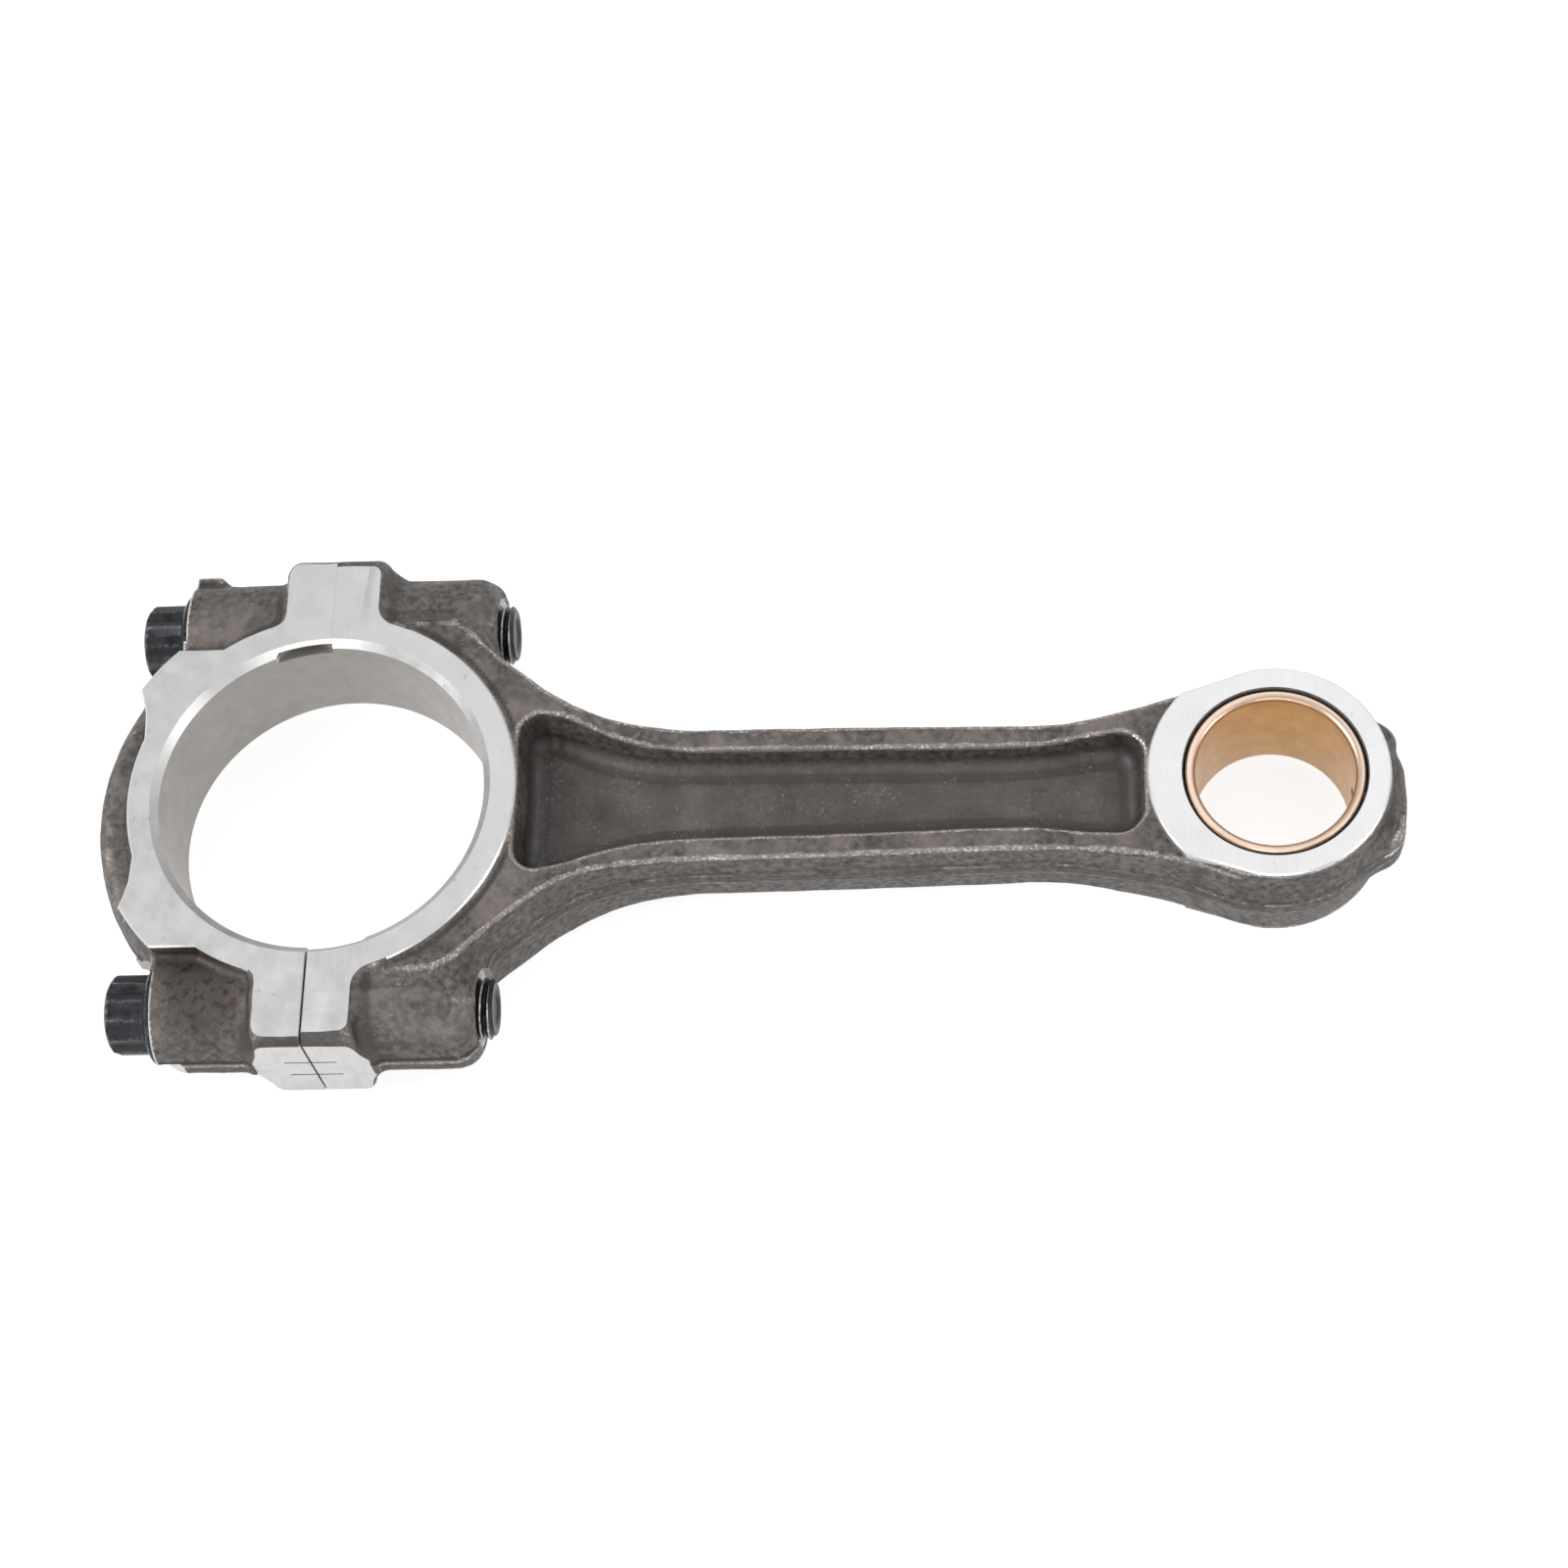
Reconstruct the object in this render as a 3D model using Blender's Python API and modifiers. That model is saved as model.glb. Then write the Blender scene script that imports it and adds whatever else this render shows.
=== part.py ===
"""Connecting rod with a bolted bearing cap, for a small engine.

Frame: +X from the big end to the small end, +Y across the beam, +Z along both bores. The rod lies flat on its
machined thrust faces, and the origin is the bottom centre of its bounding box. Every piece is built about the
middle of the big-end bore, where one empty stands. Units are metres.
"""
import math

import bmesh
import bpy
from mathutils import Matrix

MM = 0.001

# Driving dimensions
CENTRES = 152.0 * MM  # big-end axis to small-end axis
BIG_BORE_R = 26.5 * MM  # housing bore for a 50 mm crankpin with 1.5 mm shells
BIG_RING_R = 31.9 * MM  # machined thrust ring on the rod side
BIG_HALF = 11.2 * MM  # half the big-end thickness
CROWN_R = 38.3 * MM  # outside of the cap's rib
SMALL_HALF = 10.6 * MM  # half the small-end thickness
SMALL_OUT_R = 18.0 * MM  # machined face round the small end
BUSH_OUT_R = 14.1 * MM
PIN_R = 12.5 * MM  # 25 mm gudgeon pin
BOLT_R = 5.0 * MM  # M10
BOLT_Y = 33.4 * MM  # bolt axis from the bore's axis
SEAT_X = -25.0 * MM  # where the bolt flanges bear on the cap
BOLT_TIP_X = 28.7 * MM
GAP = 0.3 * MM  # between pieces that touch or are pressed together

# Big end
BORE_CHAMFER = 1.2 * MM
PAD_HALF_X = 7.7 * MM  # the pads across the joint, for each half
PAD_FACE_Y = 41.3 * MM  # edge of the thrust face
PAD_SIDE_Y = 43.0 * MM  # machined side face
PAD_SIDE_HALF = 9.6 * MM
BOSS_HALF = 9.6 * MM
BOSS_ROUND = 7.5 * MM
BOSS_INNER_Y = 24.0 * MM
BOSS_OUTER_Y = 43.3 * MM
ROD_BOSS_END_X = 26.6 * MM
CAP_RING_R = 31.4 * MM
CAP_EAR_R = 36.6 * MM
CAP_EAR_INNER_Y = 19.3 * MM
CAP_EAR_OUTER_Y = 26.4 * MM
RIB_HALF = 6.0 * MM
TANG_R = 7.0 * MM  # cutter of the bearing tang slots, its axis and its span along the bore
TANG_X = 3.5 * MM
TANG_Y = 20.9 * MM
TANG_Z = (5.0 * MM, 10.6 * MM)

# Beam
BEAM_HALF = 7.1 * MM
BEAM_ROOT_HALF = 10.2 * MM  # the flanges rise to this beside the big-end ring
BEAM_TIP_HALF = 8.9 * MM  # and to this beside the small end
WEB_HALF = 2.1 * MM
FORGE_ROUND = 1.5 * MM
FACE_STEP = 1.0 * MM  # the forged wall starts this far under a machined face

# Small end
SMALL_FACE_R = 20.0 * MM  # spot face that ends the machined face on the beam side
SMALL_FORGED_R = 19.2 * MM
TIP_REACH = 20.7 * MM  # outermost point of the tip pad from the small-end axis
TIP_HALF_Y = 10.5 * MM
TIP_HALF_Z = 5.0 * MM
OIL_R = 1.5 * MM

# Bolts and dowels
FLANGE_R = 8.0 * MM
FLANGE_T = 1.6 * MM
HEAD_ACROSS_R = 6.45 * MM
HEAD_H = 6.5 * MM
WAIST_R = 4.4 * MM
WAIST = (-22.0 * MM, -8.0 * MM)
TIP_CHAMFER = 1.0 * MM
DOWEL_OUT_R = 6.0 * MM
DOWEL_IN_R = 5.35 * MM
DOWEL_HALF = 4.0 * MM

ROUND = 96  # sides of the big round shapes
SIDES = 40  # sides of the bolt-sized ones


def material(name, colour, metallic, roughness):
    made = bpy.data.materials.new(name)
    made.use_nodes = True
    shader = made.node_tree.nodes["Principled BSDF"]
    shader.inputs["Base Color"].default_value = (*colour, 1.0)
    shader.inputs["Metallic"].default_value = metallic
    shader.inputs["Roughness"].default_value = roughness
    made.diffuse_color = (*colour, 1.0)
    return made


def collection(name):
    made = bpy.data.collections.new(name)
    bpy.context.scene.collection.children.link(made)
    return made


def add(name, mesh, group):
    made = bpy.data.objects.new(name, mesh)
    group.objects.link(made)
    return made


def arc(centre, radius, start, stop, steps):
    """Points on an arc, angles in degrees, both ends included."""
    angles = [math.radians(start + (stop - start) * i / steps) for i in range(steps + 1)]
    return [(centre[0] + radius * math.cos(a), centre[1] + radius * math.sin(a)) for a in angles]


def mirrored(half):
    """A closed outline from its +Y half, which runs from one end on the X axis to the other."""
    return half + [(x, -y) for x, y in reversed(half) if abs(y) > 1e-9]


def slab(name, outline, half, group, bevel=0.0):
    """A flat outline extruded to +-half in Z, with its edges rounded by bevel."""
    curve = bpy.data.curves.new(name, "CURVE")
    curve.dimensions = "2D"
    curve.fill_mode = "BOTH"
    curve.extrude = half - bevel
    curve.bevel_depth = bevel
    curve.bevel_resolution = 1
    curve.offset = -bevel
    spline = curve.splines.new("POLY")
    spline.points.add(len(outline) - 1)
    for point, (x, y) in zip(spline.points, outline):
        point.co = (x, y, 0, 1)
    spline.use_cyclic_u = True
    guide = bpy.data.objects.new(name + "_outline", curve)
    group.objects.link(guide)
    bpy.context.view_layer.update()
    graph = bpy.context.evaluated_depsgraph_get()
    mesh = bpy.data.meshes.new_from_object(guide.evaluated_get(graph))
    bpy.data.objects.remove(guide)
    shape = bmesh.new()
    shape.from_mesh(mesh)
    bmesh.ops.remove_doubles(shape, verts=shape.verts, dist=1e-6)
    bmesh.ops.recalc_face_normals(shape, faces=shape.faces)
    shape.to_mesh(mesh)
    shape.free()
    mesh.name = name
    return add(name, mesh, group)


def block(name, low, high, group, bevel=0.0, segments=2):
    shape = bmesh.new()
    bmesh.ops.create_cube(shape, size=1.0)
    size = [h - l for l, h in zip(low, high)]
    centre = [(l + h) / 2 for l, h in zip(low, high)]
    bmesh.ops.scale(shape, vec=size, verts=shape.verts)
    bmesh.ops.translate(shape, vec=centre, verts=shape.verts)
    if bevel:
        bmesh.ops.bevel(shape, geom=shape.edges[:], offset=bevel, segments=segments, profile=0.5, affect="EDGES")
    mesh = bpy.data.meshes.new(name)
    shape.to_mesh(mesh)
    shape.free()
    return add(name, mesh, group)


def cylinder(name, axis, centre, radius, low, high, group, sides=ROUND, end_radius=None):
    """A cylinder or cone from low to high along the axis through centre."""
    shape = bmesh.new()
    end = radius if end_radius is None else end_radius
    bmesh.ops.create_cone(shape, cap_ends=True, segments=sides, radius1=radius, radius2=end, depth=high - low)
    bmesh.ops.translate(shape, vec=(0, 0, (low + high) / 2), verts=shape.verts)
    if axis == "X":
        bmesh.ops.rotate(shape, matrix=Matrix.Rotation(math.radians(90), 3, "Y"), verts=shape.verts)
    bmesh.ops.translate(shape, vec=centre, verts=shape.verts)
    mesh = bpy.data.meshes.new(name)
    shape.to_mesh(mesh)
    shape.free()
    return add(name, mesh, group)


def turned(name, profile, group, sides):
    """A closed profile of (radius, z) points, outer side downwards first, turned about Z."""
    mesh = bpy.data.meshes.new(name)
    points = [(r, 0, z) for r, z in profile]
    count = len(points)
    on_axis = abs(profile[0][0]) < 1e-9
    edges = [(i, i + 1) for i in range(count - 1)] + ([] if on_axis else [(count - 1, 0)])
    mesh.from_pydata(points, edges, [])
    made = add(name, mesh, group)
    screw = made.modifiers.new("turn", "SCREW")
    screw.axis = "Z"
    screw.steps = screw.render_steps = sides
    screw.use_merge_vertices = True
    screw.merge_threshold = 1e-6
    return made


def combine(target, tools, operation):
    for tool in tools:
        tool.hide_render = True
        tool.display_type = "WIRE"
        step = target.modifiers.new(tool.name, "BOOLEAN")
        step.operation = operation
        step.solver = "EXACT"
        step.object = tool


def round_off(made, angle=30):
    """Smooth shading with creases at sharp edges."""
    made.data.shade_smooth()
    made.data.set_sharp_from_angle(angle=math.radians(angle))


def chamfered_bore(name, x, radius, chamfer, half, cutters):
    """Cutters for a bore along Z with a chamfer at each face."""
    reach = 3 * MM
    top = (x, 0, 0)
    flare = radius + chamfer + reach
    return [
        cylinder(name, "Z", top, radius, -half - reach, half + reach, cutters),
        cylinder(name + "_top", "Z", top, radius, half - chamfer, half + reach, cutters, end_radius=flare),
        cylinder(name + "_low", "Z", top, flare, -half - reach, -half + chamfer, cutters, end_radius=radius),
    ]


def pad_parts(side, x_low, x_high, cutters):
    """The machined pad beside the joint on one side: the thrust face, and the side face below its bevel."""
    y_in, y_face, y_side = 28 * MM, PAD_FACE_Y, PAD_SIDE_Y
    y = sorted((side * y_in, side * y_face))
    z = BIG_HALF
    face = block("pad_face", (x_low, y[0], -z), (x_high, y[1], z), cutters, bevel=0.4 * MM, segments=1)
    y = sorted((side * y_in, side * y_side))
    z = PAD_SIDE_HALF
    flank = block("pad_side", (x_low, y[0], -z), (x_high, y[1], z), cutters, bevel=1.0 * MM, segments=1)
    return [face, flank]


def bolt_hole(side, cutters):
    y = side * BOLT_Y
    reach = 50 * MM
    hole = cylinder("bolt_hole", "X", (0, y, 0), BOLT_R + GAP, -reach, reach, cutters, SIDES)
    seat = DOWEL_HALF + GAP
    dowel = cylinder("dowel_seat", "X", (0, y, 0), DOWEL_OUT_R + GAP, -seat, seat, cutters, SIDES)
    return [hole, dowel]


def beam_half_outline():
    """The +Y half of the beam's outline, from inside the big end to inside the small end."""
    flare = [(20, 31), (26, 27), (28, 24.8), (32, 21.6), (36, 18.5), (40, 16), (44, 14.3), (48, 13.2), (54, 12.3)]
    shank = [(62, 11.9), (84, 11.7), (106, 11.3), (116, 11.2), (124, 12), (131, 13.3), (137, 14.7)]
    inside = [(150, 17), (150, 0)]
    return [(20 * MM, 0)] + [(x * MM, y * MM) for x, y in flare + shank + inside]


def beam_side_outline():
    """The beam seen from the side: its height swells towards both ends."""
    root, shank, tip = BEAM_ROOT_HALF / MM, BEAM_HALF / MM, BEAM_TIP_HALF / MM
    top = [(15, root), (38, root), (41, 9.8), (44, 9.1), (48, 8.2), (52, 7.4), (57, 7.0), (64, shank)]
    top += [(116, shank), (120, 6.9), (124, 7.3), (128, 8.0), (132, 8.5), (136, tip), (155, tip)]
    return mirrored([(15 * MM, 0)] + [(x * MM, z * MM) for x, z in top] + [(155 * MM, 0)])


def pocket_half_outline():
    """The +Y half of the I-beam's pocket. Its ends lie against the two thrust rings."""
    big = arc((35.6 * MM, 9.8 * MM), 3.7 * MM, 180, 75, 5)
    sides = [(41, 12.3), (46, 10.1), (52, 8.3), (60, 7.6), (84, 7.3), (108, 6.9), (116, 7.2), (122, 8.1)]
    small = arc((128.0 * MM, 4.9 * MM), 3.7 * MM, 80, 0, 5)
    return [(31.9 * MM, 0)] + big + [(x * MM, y * MM) for x, y in sides] + small + [(131.9 * MM, 0)]


def small_end_outline():
    """The machined face of the small end: a round nose, tangents, and the spot face's arc on the beam side."""
    nose = arc((CENTRES, 0), SMALL_OUT_R, 0, 100, 22)
    corner = math.degrees(math.atan2(14.0, -14.3))
    spot = arc((CENTRES, 0), SMALL_FACE_R, corner, 180, 8)
    return mirrored(nose + spot)


def cap_face_outline():
    """The +Y half of the cap's thrust face, ring, ears and all, from the joint plane to the crown."""
    ear_in = math.degrees(math.asin(CAP_EAR_INNER_Y / CAP_EAR_R))
    ear_out = math.degrees(math.asin(CAP_EAR_OUTER_Y / CAP_EAR_R))
    ring_in = math.degrees(math.asin((CAP_EAR_INNER_Y - 5.4 * MM) / CAP_RING_R))
    ring_out = math.degrees(math.asin((CAP_EAR_OUTER_Y + 0.8 * MM) / BIG_RING_R))
    half = [(0, 0), (0, BIG_RING_R)]
    half += arc((0, 0), BIG_RING_R, 95, 180 - ring_out, 7)
    half += arc((0, 0), CAP_EAR_R, 180 - ear_out, 180 - ear_in, 5)
    half += arc((0, 0), CAP_RING_R, 180 - ring_in, 180, 8)
    return half


def crown_outline():
    """The cap's rib, an arc outside the ring that ends under the bolt seats."""
    return [(0, 0), (0, 30 * MM)] + arc((0, 0), CROWN_R, 136, 180, 12)


def make_rod(group, cutters, steel):
    rod = slab("rod_forging", mirrored(beam_half_outline()), BEAM_ROOT_HALF, group)
    side_view = slab("beam_side", beam_side_outline(), BOSS_OUTER_Y, cutters)
    side_view.rotation_euler.x = math.radians(90)
    combine(rod, [side_view], "INTERSECT")
    ring = cylinder("ring", "Z", (0, 0, 0), BIG_RING_R, -BIG_HALF, BIG_HALF, cutters)
    forged = BIG_HALF - FACE_STEP
    skirt = cylinder("ring_skirt", "Z", (0, 0, 0), BIG_RING_R + 0.7 * MM, -forged, forged, cutters)
    adds = [ring, skirt]
    for side in (1, -1):
        adds += pad_parts(side, -5 * MM, PAD_HALF_X, cutters)
        y = sorted((side * BOSS_INNER_Y, side * BOSS_OUTER_Y))
        low = (-5 * MM, y[0], -BOSS_HALF)
        high = (ROD_BOSS_END_X, y[1], BOSS_HALF)
        adds.append(block("rod_boss", low, high, cutters, bevel=BOSS_ROUND, segments=4))
    adds.append(slab("small_end_face", small_end_outline(), SMALL_HALF, cutters))
    forged = SMALL_HALF - FACE_STEP
    adds.append(cylinder("small_end_wall", "Z", (CENTRES, 0, 0), SMALL_FORGED_R, -forged, forged, cutters))
    tip = (CENTRES + TIP_REACH - 8 * MM, -TIP_HALF_Y, -TIP_HALF_Z)
    end = (CENTRES + TIP_REACH, TIP_HALF_Y, TIP_HALF_Z)
    adds.append(block("tip_pad", tip, end, cutters, bevel=1.5 * MM))
    combine(rod, adds, "UNION")

    cuts = chamfered_bore("big_bore", 0, BIG_BORE_R, BORE_CHAMFER, BIG_HALF, cutters)
    cuts += chamfered_bore("small_bore", CENTRES, BUSH_OUT_R + GAP, 0.25 * MM, SMALL_HALF, cutters)
    middle = (WEB_HALF + BEAM_HALF) / 2 + 3 * MM
    for side in (1, -1):
        pocket = slab("pocket", mirrored(pocket_half_outline()), middle - WEB_HALF, cutters, 2.0 * MM)
        pocket.location.z = side * middle
        cuts.append(pocket)
        cuts += bolt_hole(side, cutters)
    wide = 60 * MM
    cuts.append(block("joint_face", (-wide, -wide, -wide), (GAP / 2, wide, wide), cutters))
    tang = (TANG_X, -TANG_Y, 0)
    cuts.append(cylinder("rod_tang_slot", "Z", tang, TANG_R, *TANG_Z, cutters, 32))
    hole = (CENTRES, 0, 0)
    cuts.append(cylinder("oil_hole", "X", hole, OIL_R, PIN_R, TIP_REACH + 5 * MM, cutters, 16))
    combine(rod, cuts, "DIFFERENCE")
    rod.data.materials.append(steel)
    round_off(rod)
    return rod


def make_cap(group, cutters, steel):
    cap = slab("bearing_cap", mirrored(crown_outline()), RIB_HALF, group, FORGE_ROUND)
    face = slab("cap_face", mirrored(cap_face_outline()), BIG_HALF, cutters)
    adds = [face]
    for side in (1, -1):
        adds += pad_parts(side, -PAD_HALF_X, 5 * MM, cutters)
        y = sorted((side * BOSS_INNER_Y, side * BOSS_OUTER_Y))
        low = (SEAT_X - 6 * MM, y[0], -BOSS_HALF)
        high = (5 * MM, y[1], BOSS_HALF)
        adds.append(block("cap_boss", low, high, cutters, bevel=BOSS_ROUND, segments=4))
    combine(cap, adds, "UNION")

    cuts = chamfered_bore("cap_bore", 0, BIG_BORE_R, BORE_CHAMFER, BIG_HALF, cutters)
    wide = 60 * MM
    for side in (1, -1):
        cuts += bolt_hole(side, cutters)
        y = side * BOLT_Y
        spot = (0, y, 0)
        cuts.append(cylinder("spot_face", "X", spot, FLANGE_R + 0.6 * MM, -wide, SEAT_X, cutters, SIDES))
        outer = sorted((side * BOLT_Y, side * wide))
        cuts.append(block("seat_plane", (-wide, outer[0], -wide), (SEAT_X, outer[1], wide), cutters))
    cuts.append(block("joint_face", (-GAP / 2, -wide, -wide), (wide, wide, wide), cutters))
    tang = (-TANG_X, TANG_Y, 0)
    cuts.append(cylinder("cap_tang_slot", "Z", tang, TANG_R, *TANG_Z, cutters, 32))
    combine(cap, cuts, "DIFFERENCE")
    cap.data.materials.append(steel)
    round_off(cap)
    return cap


def make_bolt(name, side, group, cutters, black):
    """A flanged 12-point bolt, turned about its own axis and then laid along X, head at -X."""
    low = SEAT_X - GAP
    flange_top = low - FLANGE_T
    head_top = flange_top - HEAD_H
    profile = [
        (0, BOLT_TIP_X),
        (BOLT_R - TIP_CHAMFER, BOLT_TIP_X),
        (BOLT_R, BOLT_TIP_X - TIP_CHAMFER),
        (BOLT_R, WAIST[1]),
        (WAIST_R, WAIST[1] - 0.6 * MM),
        (WAIST_R, WAIST[0] + 0.6 * MM),
        (BOLT_R, WAIST[0]),
        (BOLT_R, low),
        (FLANGE_R, low),
        (FLANGE_R, low - 0.6 * MM),
        (HEAD_ACROSS_R, flange_top),
        (HEAD_ACROSS_R - 0.9 * MM, flange_top),
        (HEAD_ACROSS_R - 0.9 * MM, head_top),
        (0, head_top),
    ]
    bolt = turned(name, profile, group, SIDES)
    points = []
    for turn in (0, 30):
        flat = cylinder("head_points", "Z", (0, 0, 0), HEAD_ACROSS_R, head_top + 0.2 * MM, flange_top + 0.2 * MM,
                        cutters, 6)
        flat.data.transform(Matrix.Rotation(math.radians(turn), 4, "Z"))
        points.append(flat)
    combine(bolt, points, "UNION")
    for tool in [bolt] + points:
        tool.location = (0, side * BOLT_Y, 0)
        tool.rotation_euler = (0, math.radians(90), 0)
    bolt.data.materials.append(black)
    round_off(bolt)
    return bolt


def sleeve(name, inner, outer, half, chamfer, group, sides):
    """A plain bush about Z with both its inner edges chamfered."""
    profile = [
        (inner + chamfer, half),
        (outer, half),
        (outer, -half),
        (inner + chamfer, -half),
        (inner, -half + chamfer),
        (inner, half - chamfer),
    ]
    return turned(name, profile, group, sides)


def main():
    for old in list(bpy.data.objects):
        bpy.data.objects.remove(old)
    group = collection("connecting_rod")
    cutters = collection("cutters")

    steel = material("forged_steel", (0.20, 0.18, 0.165), 0.85, 0.55)
    black = material("black_oxide", (0.02, 0.022, 0.025), 0.6, 0.4)
    bronze = material("bush_bronze", (0.62, 0.37, 0.16), 0.9, 0.35)
    dowel_steel = material("dowel_steel", (0.55, 0.55, 0.55), 1.0, 0.3)

    centre = bpy.data.objects.new("big_end_centre", None)
    group.objects.link(centre)
    length = CROWN_R + CENTRES + TIP_REACH
    centre.location = (CROWN_R - length / 2, 0, BIG_HALF)

    make_rod(group, cutters, steel)
    make_cap(group, cutters, steel)
    make_bolt("bolt_far", 1, group, cutters, black)
    make_bolt("bolt_near", -1, group, cutters, black)

    bush = sleeve("small_end_bush", PIN_R, BUSH_OUT_R, SMALL_HALF - 0.2 * MM, 0.4 * MM, group, ROUND)
    bush.location.x = CENTRES
    drill = cylinder("bush_oil_hole", "X", (CENTRES, 0, 0), OIL_R, PIN_R - 3 * MM, BUSH_OUT_R + 3 * MM, cutters, 16)
    combine(bush, [drill], "DIFFERENCE")
    bush.data.materials.append(bronze)
    round_off(bush)

    for name, side in (("ring_dowel_far", 1), ("ring_dowel_near", -1)):
        dowel = sleeve(name, DOWEL_IN_R, DOWEL_OUT_R, DOWEL_HALF, 0.2 * MM, group, SIDES)
        dowel.location.y = side * BOLT_Y
        dowel.rotation_euler = (0, math.radians(90), 0)
        dowel.data.materials.append(dowel_steel)
        round_off(dowel)

    for made in list(group.objects) + list(cutters.objects):
        if made is not centre:
            made.parent = centre


main()
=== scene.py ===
"""The looks of the connecting rod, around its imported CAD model.

Shapes are worked out in millimetres about the middle of the big-end bore: +X to the small end, +Z up.
Each forging is a distance field, as its dies would shape it. The field is turned into a mesh and then
machined with solid cutters.
"""
import math

import bpy
import numpy as np
from mathutils import Matrix, Vector


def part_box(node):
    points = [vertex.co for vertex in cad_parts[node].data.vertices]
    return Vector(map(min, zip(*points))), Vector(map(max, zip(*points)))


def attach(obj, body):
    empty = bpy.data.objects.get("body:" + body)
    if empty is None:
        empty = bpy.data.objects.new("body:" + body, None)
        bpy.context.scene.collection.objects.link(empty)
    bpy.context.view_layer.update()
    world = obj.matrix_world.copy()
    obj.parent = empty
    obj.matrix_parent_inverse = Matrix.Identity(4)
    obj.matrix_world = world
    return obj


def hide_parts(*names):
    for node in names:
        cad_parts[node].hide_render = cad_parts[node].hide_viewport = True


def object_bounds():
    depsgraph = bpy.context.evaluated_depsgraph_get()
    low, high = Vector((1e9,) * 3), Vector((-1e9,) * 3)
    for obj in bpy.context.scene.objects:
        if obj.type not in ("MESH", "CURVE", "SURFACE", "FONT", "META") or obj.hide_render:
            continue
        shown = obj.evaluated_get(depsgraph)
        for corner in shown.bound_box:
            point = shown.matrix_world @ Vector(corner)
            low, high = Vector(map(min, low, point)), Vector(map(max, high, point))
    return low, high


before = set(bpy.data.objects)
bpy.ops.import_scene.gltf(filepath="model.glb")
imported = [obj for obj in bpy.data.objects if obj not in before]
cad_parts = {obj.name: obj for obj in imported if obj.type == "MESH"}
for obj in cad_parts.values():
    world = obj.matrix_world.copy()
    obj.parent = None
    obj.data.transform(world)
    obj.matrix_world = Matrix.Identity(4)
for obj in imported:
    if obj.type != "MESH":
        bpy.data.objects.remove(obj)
CAD_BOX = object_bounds()
MM = 0.001


def box_mm(node):
    """A CAD node's box in millimetres."""
    low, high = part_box(node)
    return np.array(low) / MM, np.array(high) / MM


# Driving places, from the frame. Names with _X are from the big end's centre, except BIG_X.
ROD_LOW, ROD_HIGH = box_mm("rod_forging")
CAP_LOW, CAP_HIGH = box_mm("bearing_cap")
BUSH_LOW, BUSH_HIGH = box_mm("small_end_bush")
BOLT_LOW, BOLT_HIGH = box_mm("bolt_far")
DOWEL_LOW, DOWEL_HIGH = box_mm("ring_dowel_far")
BIG_X = (ROD_LOW[0] + CAP_HIGH[0]) / 2
MID_Z = (ROD_LOW[2] + ROD_HIGH[2]) / 2
CENTRE = np.array([BIG_X, 0, MID_Z])
GAP = ROD_LOW[0] - CAP_HIGH[0]
CENTRES = (BUSH_LOW[0] + BUSH_HIGH[0]) / 2 - BIG_X
BIG_HALF = ROD_HIGH[2] - MID_Z
BUSH_R = (BUSH_HIGH[0] - BUSH_LOW[0]) / 2
BUSH_HALF = (BUSH_HIGH[2] - BUSH_LOW[2]) / 2
BOLT_Y = (BOLT_LOW[1] + BOLT_HIGH[1]) / 2
FLANGE_R = (BOLT_HIGH[1] - BOLT_LOW[1]) / 2
HEAD_END_X = BOLT_LOW[0] - BIG_X
TIP_X = BOLT_HIGH[0] - BIG_X
DOWEL_R = (DOWEL_HIGH[1] - DOWEL_LOW[1]) / 2
DOWEL_HALF = (DOWEL_HIGH[0] - DOWEL_LOW[0]) / 2
CROWN_R = BIG_X - CAP_LOW[0]
OUTER_Y = ROD_HIGH[1]
TIP_REACH = ROD_HIGH[0] - BIG_X - CENTRES

# Machining, big end
BORE_R = 26.5
BORE_CHAMFER = 1.2
RING_R = 31.9
PAD_HALF_X = 7.7
PAD_FACE_Y = 41.3
PAD_CORNER_R = 1.8
PAD_FILLET_R = 3.6
PAD_SIDE_Y = 43.0
RIM = 0.28  # broken edge round the ground faces
SEAT_X = -25.0
SEAT_IN_Y = 29.3
SPOT_R = 8.7  # spot face under the bolt's flange
BOSS_SPOT_R = 6.5  # spot face where the thread comes out of the rod's boss
BOLT_HOLE_R = 5.3
NEAR_JOINT = 0.3  # width of the joint line on the near side
FAR_JOINT = 0.02  # and on the far side, where the halves meet more tightly
JOINT_BREAK = 0.16  # broken edge along the joint
MARK_Z = 2.6  # the two witness lines across the joint, above and below mid-height
MARK_REACH = 4.2
MARK_HALF = 0.17
MARK_DEPTH = 0.3
CAP_RING_R = 31.4  # the cap's ring between its ears, up to CAP_RING_Y
CAP_RING_Y = 10.4
EAR_R = 36.6
EAR_IN_Y = 19.3
EAR_OUT_Y = 26.4
TANG_X, TANG_Y, TANG_R = 3.5, 20.9, 7.0
TANG_Z = (8.5, 10.15, 10.6)  # the slot's floor, the start of its undercut corner and its top
TANG_UNDERCUT = 0.05

# Machining, small end
SMALL_HALF = 10.6
SMALL_R = 18.0
SPOT_FACE_R = 20.0
SPOT_CORNER = (-14.3, 14.1)
OIL_R = 1.5
OIL_START = 8.8  # the oil drill stops here, inside the bore
BUSH_BORE_R = 12.5

# Bolts: M10 x 1.25, with a 12-point head on a flange
BOLT_R = 5.0
PITCH = 1.25
THREAD_DEPTH = 0.68
THREAD_START_X = 4.0
WAIST_R = 4.4
WAIST = (-22.0, -8.0)
FLANGE_T = 1.6
HEAD_R = 6.45
BOLT_SIDES = 96
CREST_DEPTH = 0.22  # the worn outer part of a thread's flank
FLANGE_WEAR = 0.6

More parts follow.
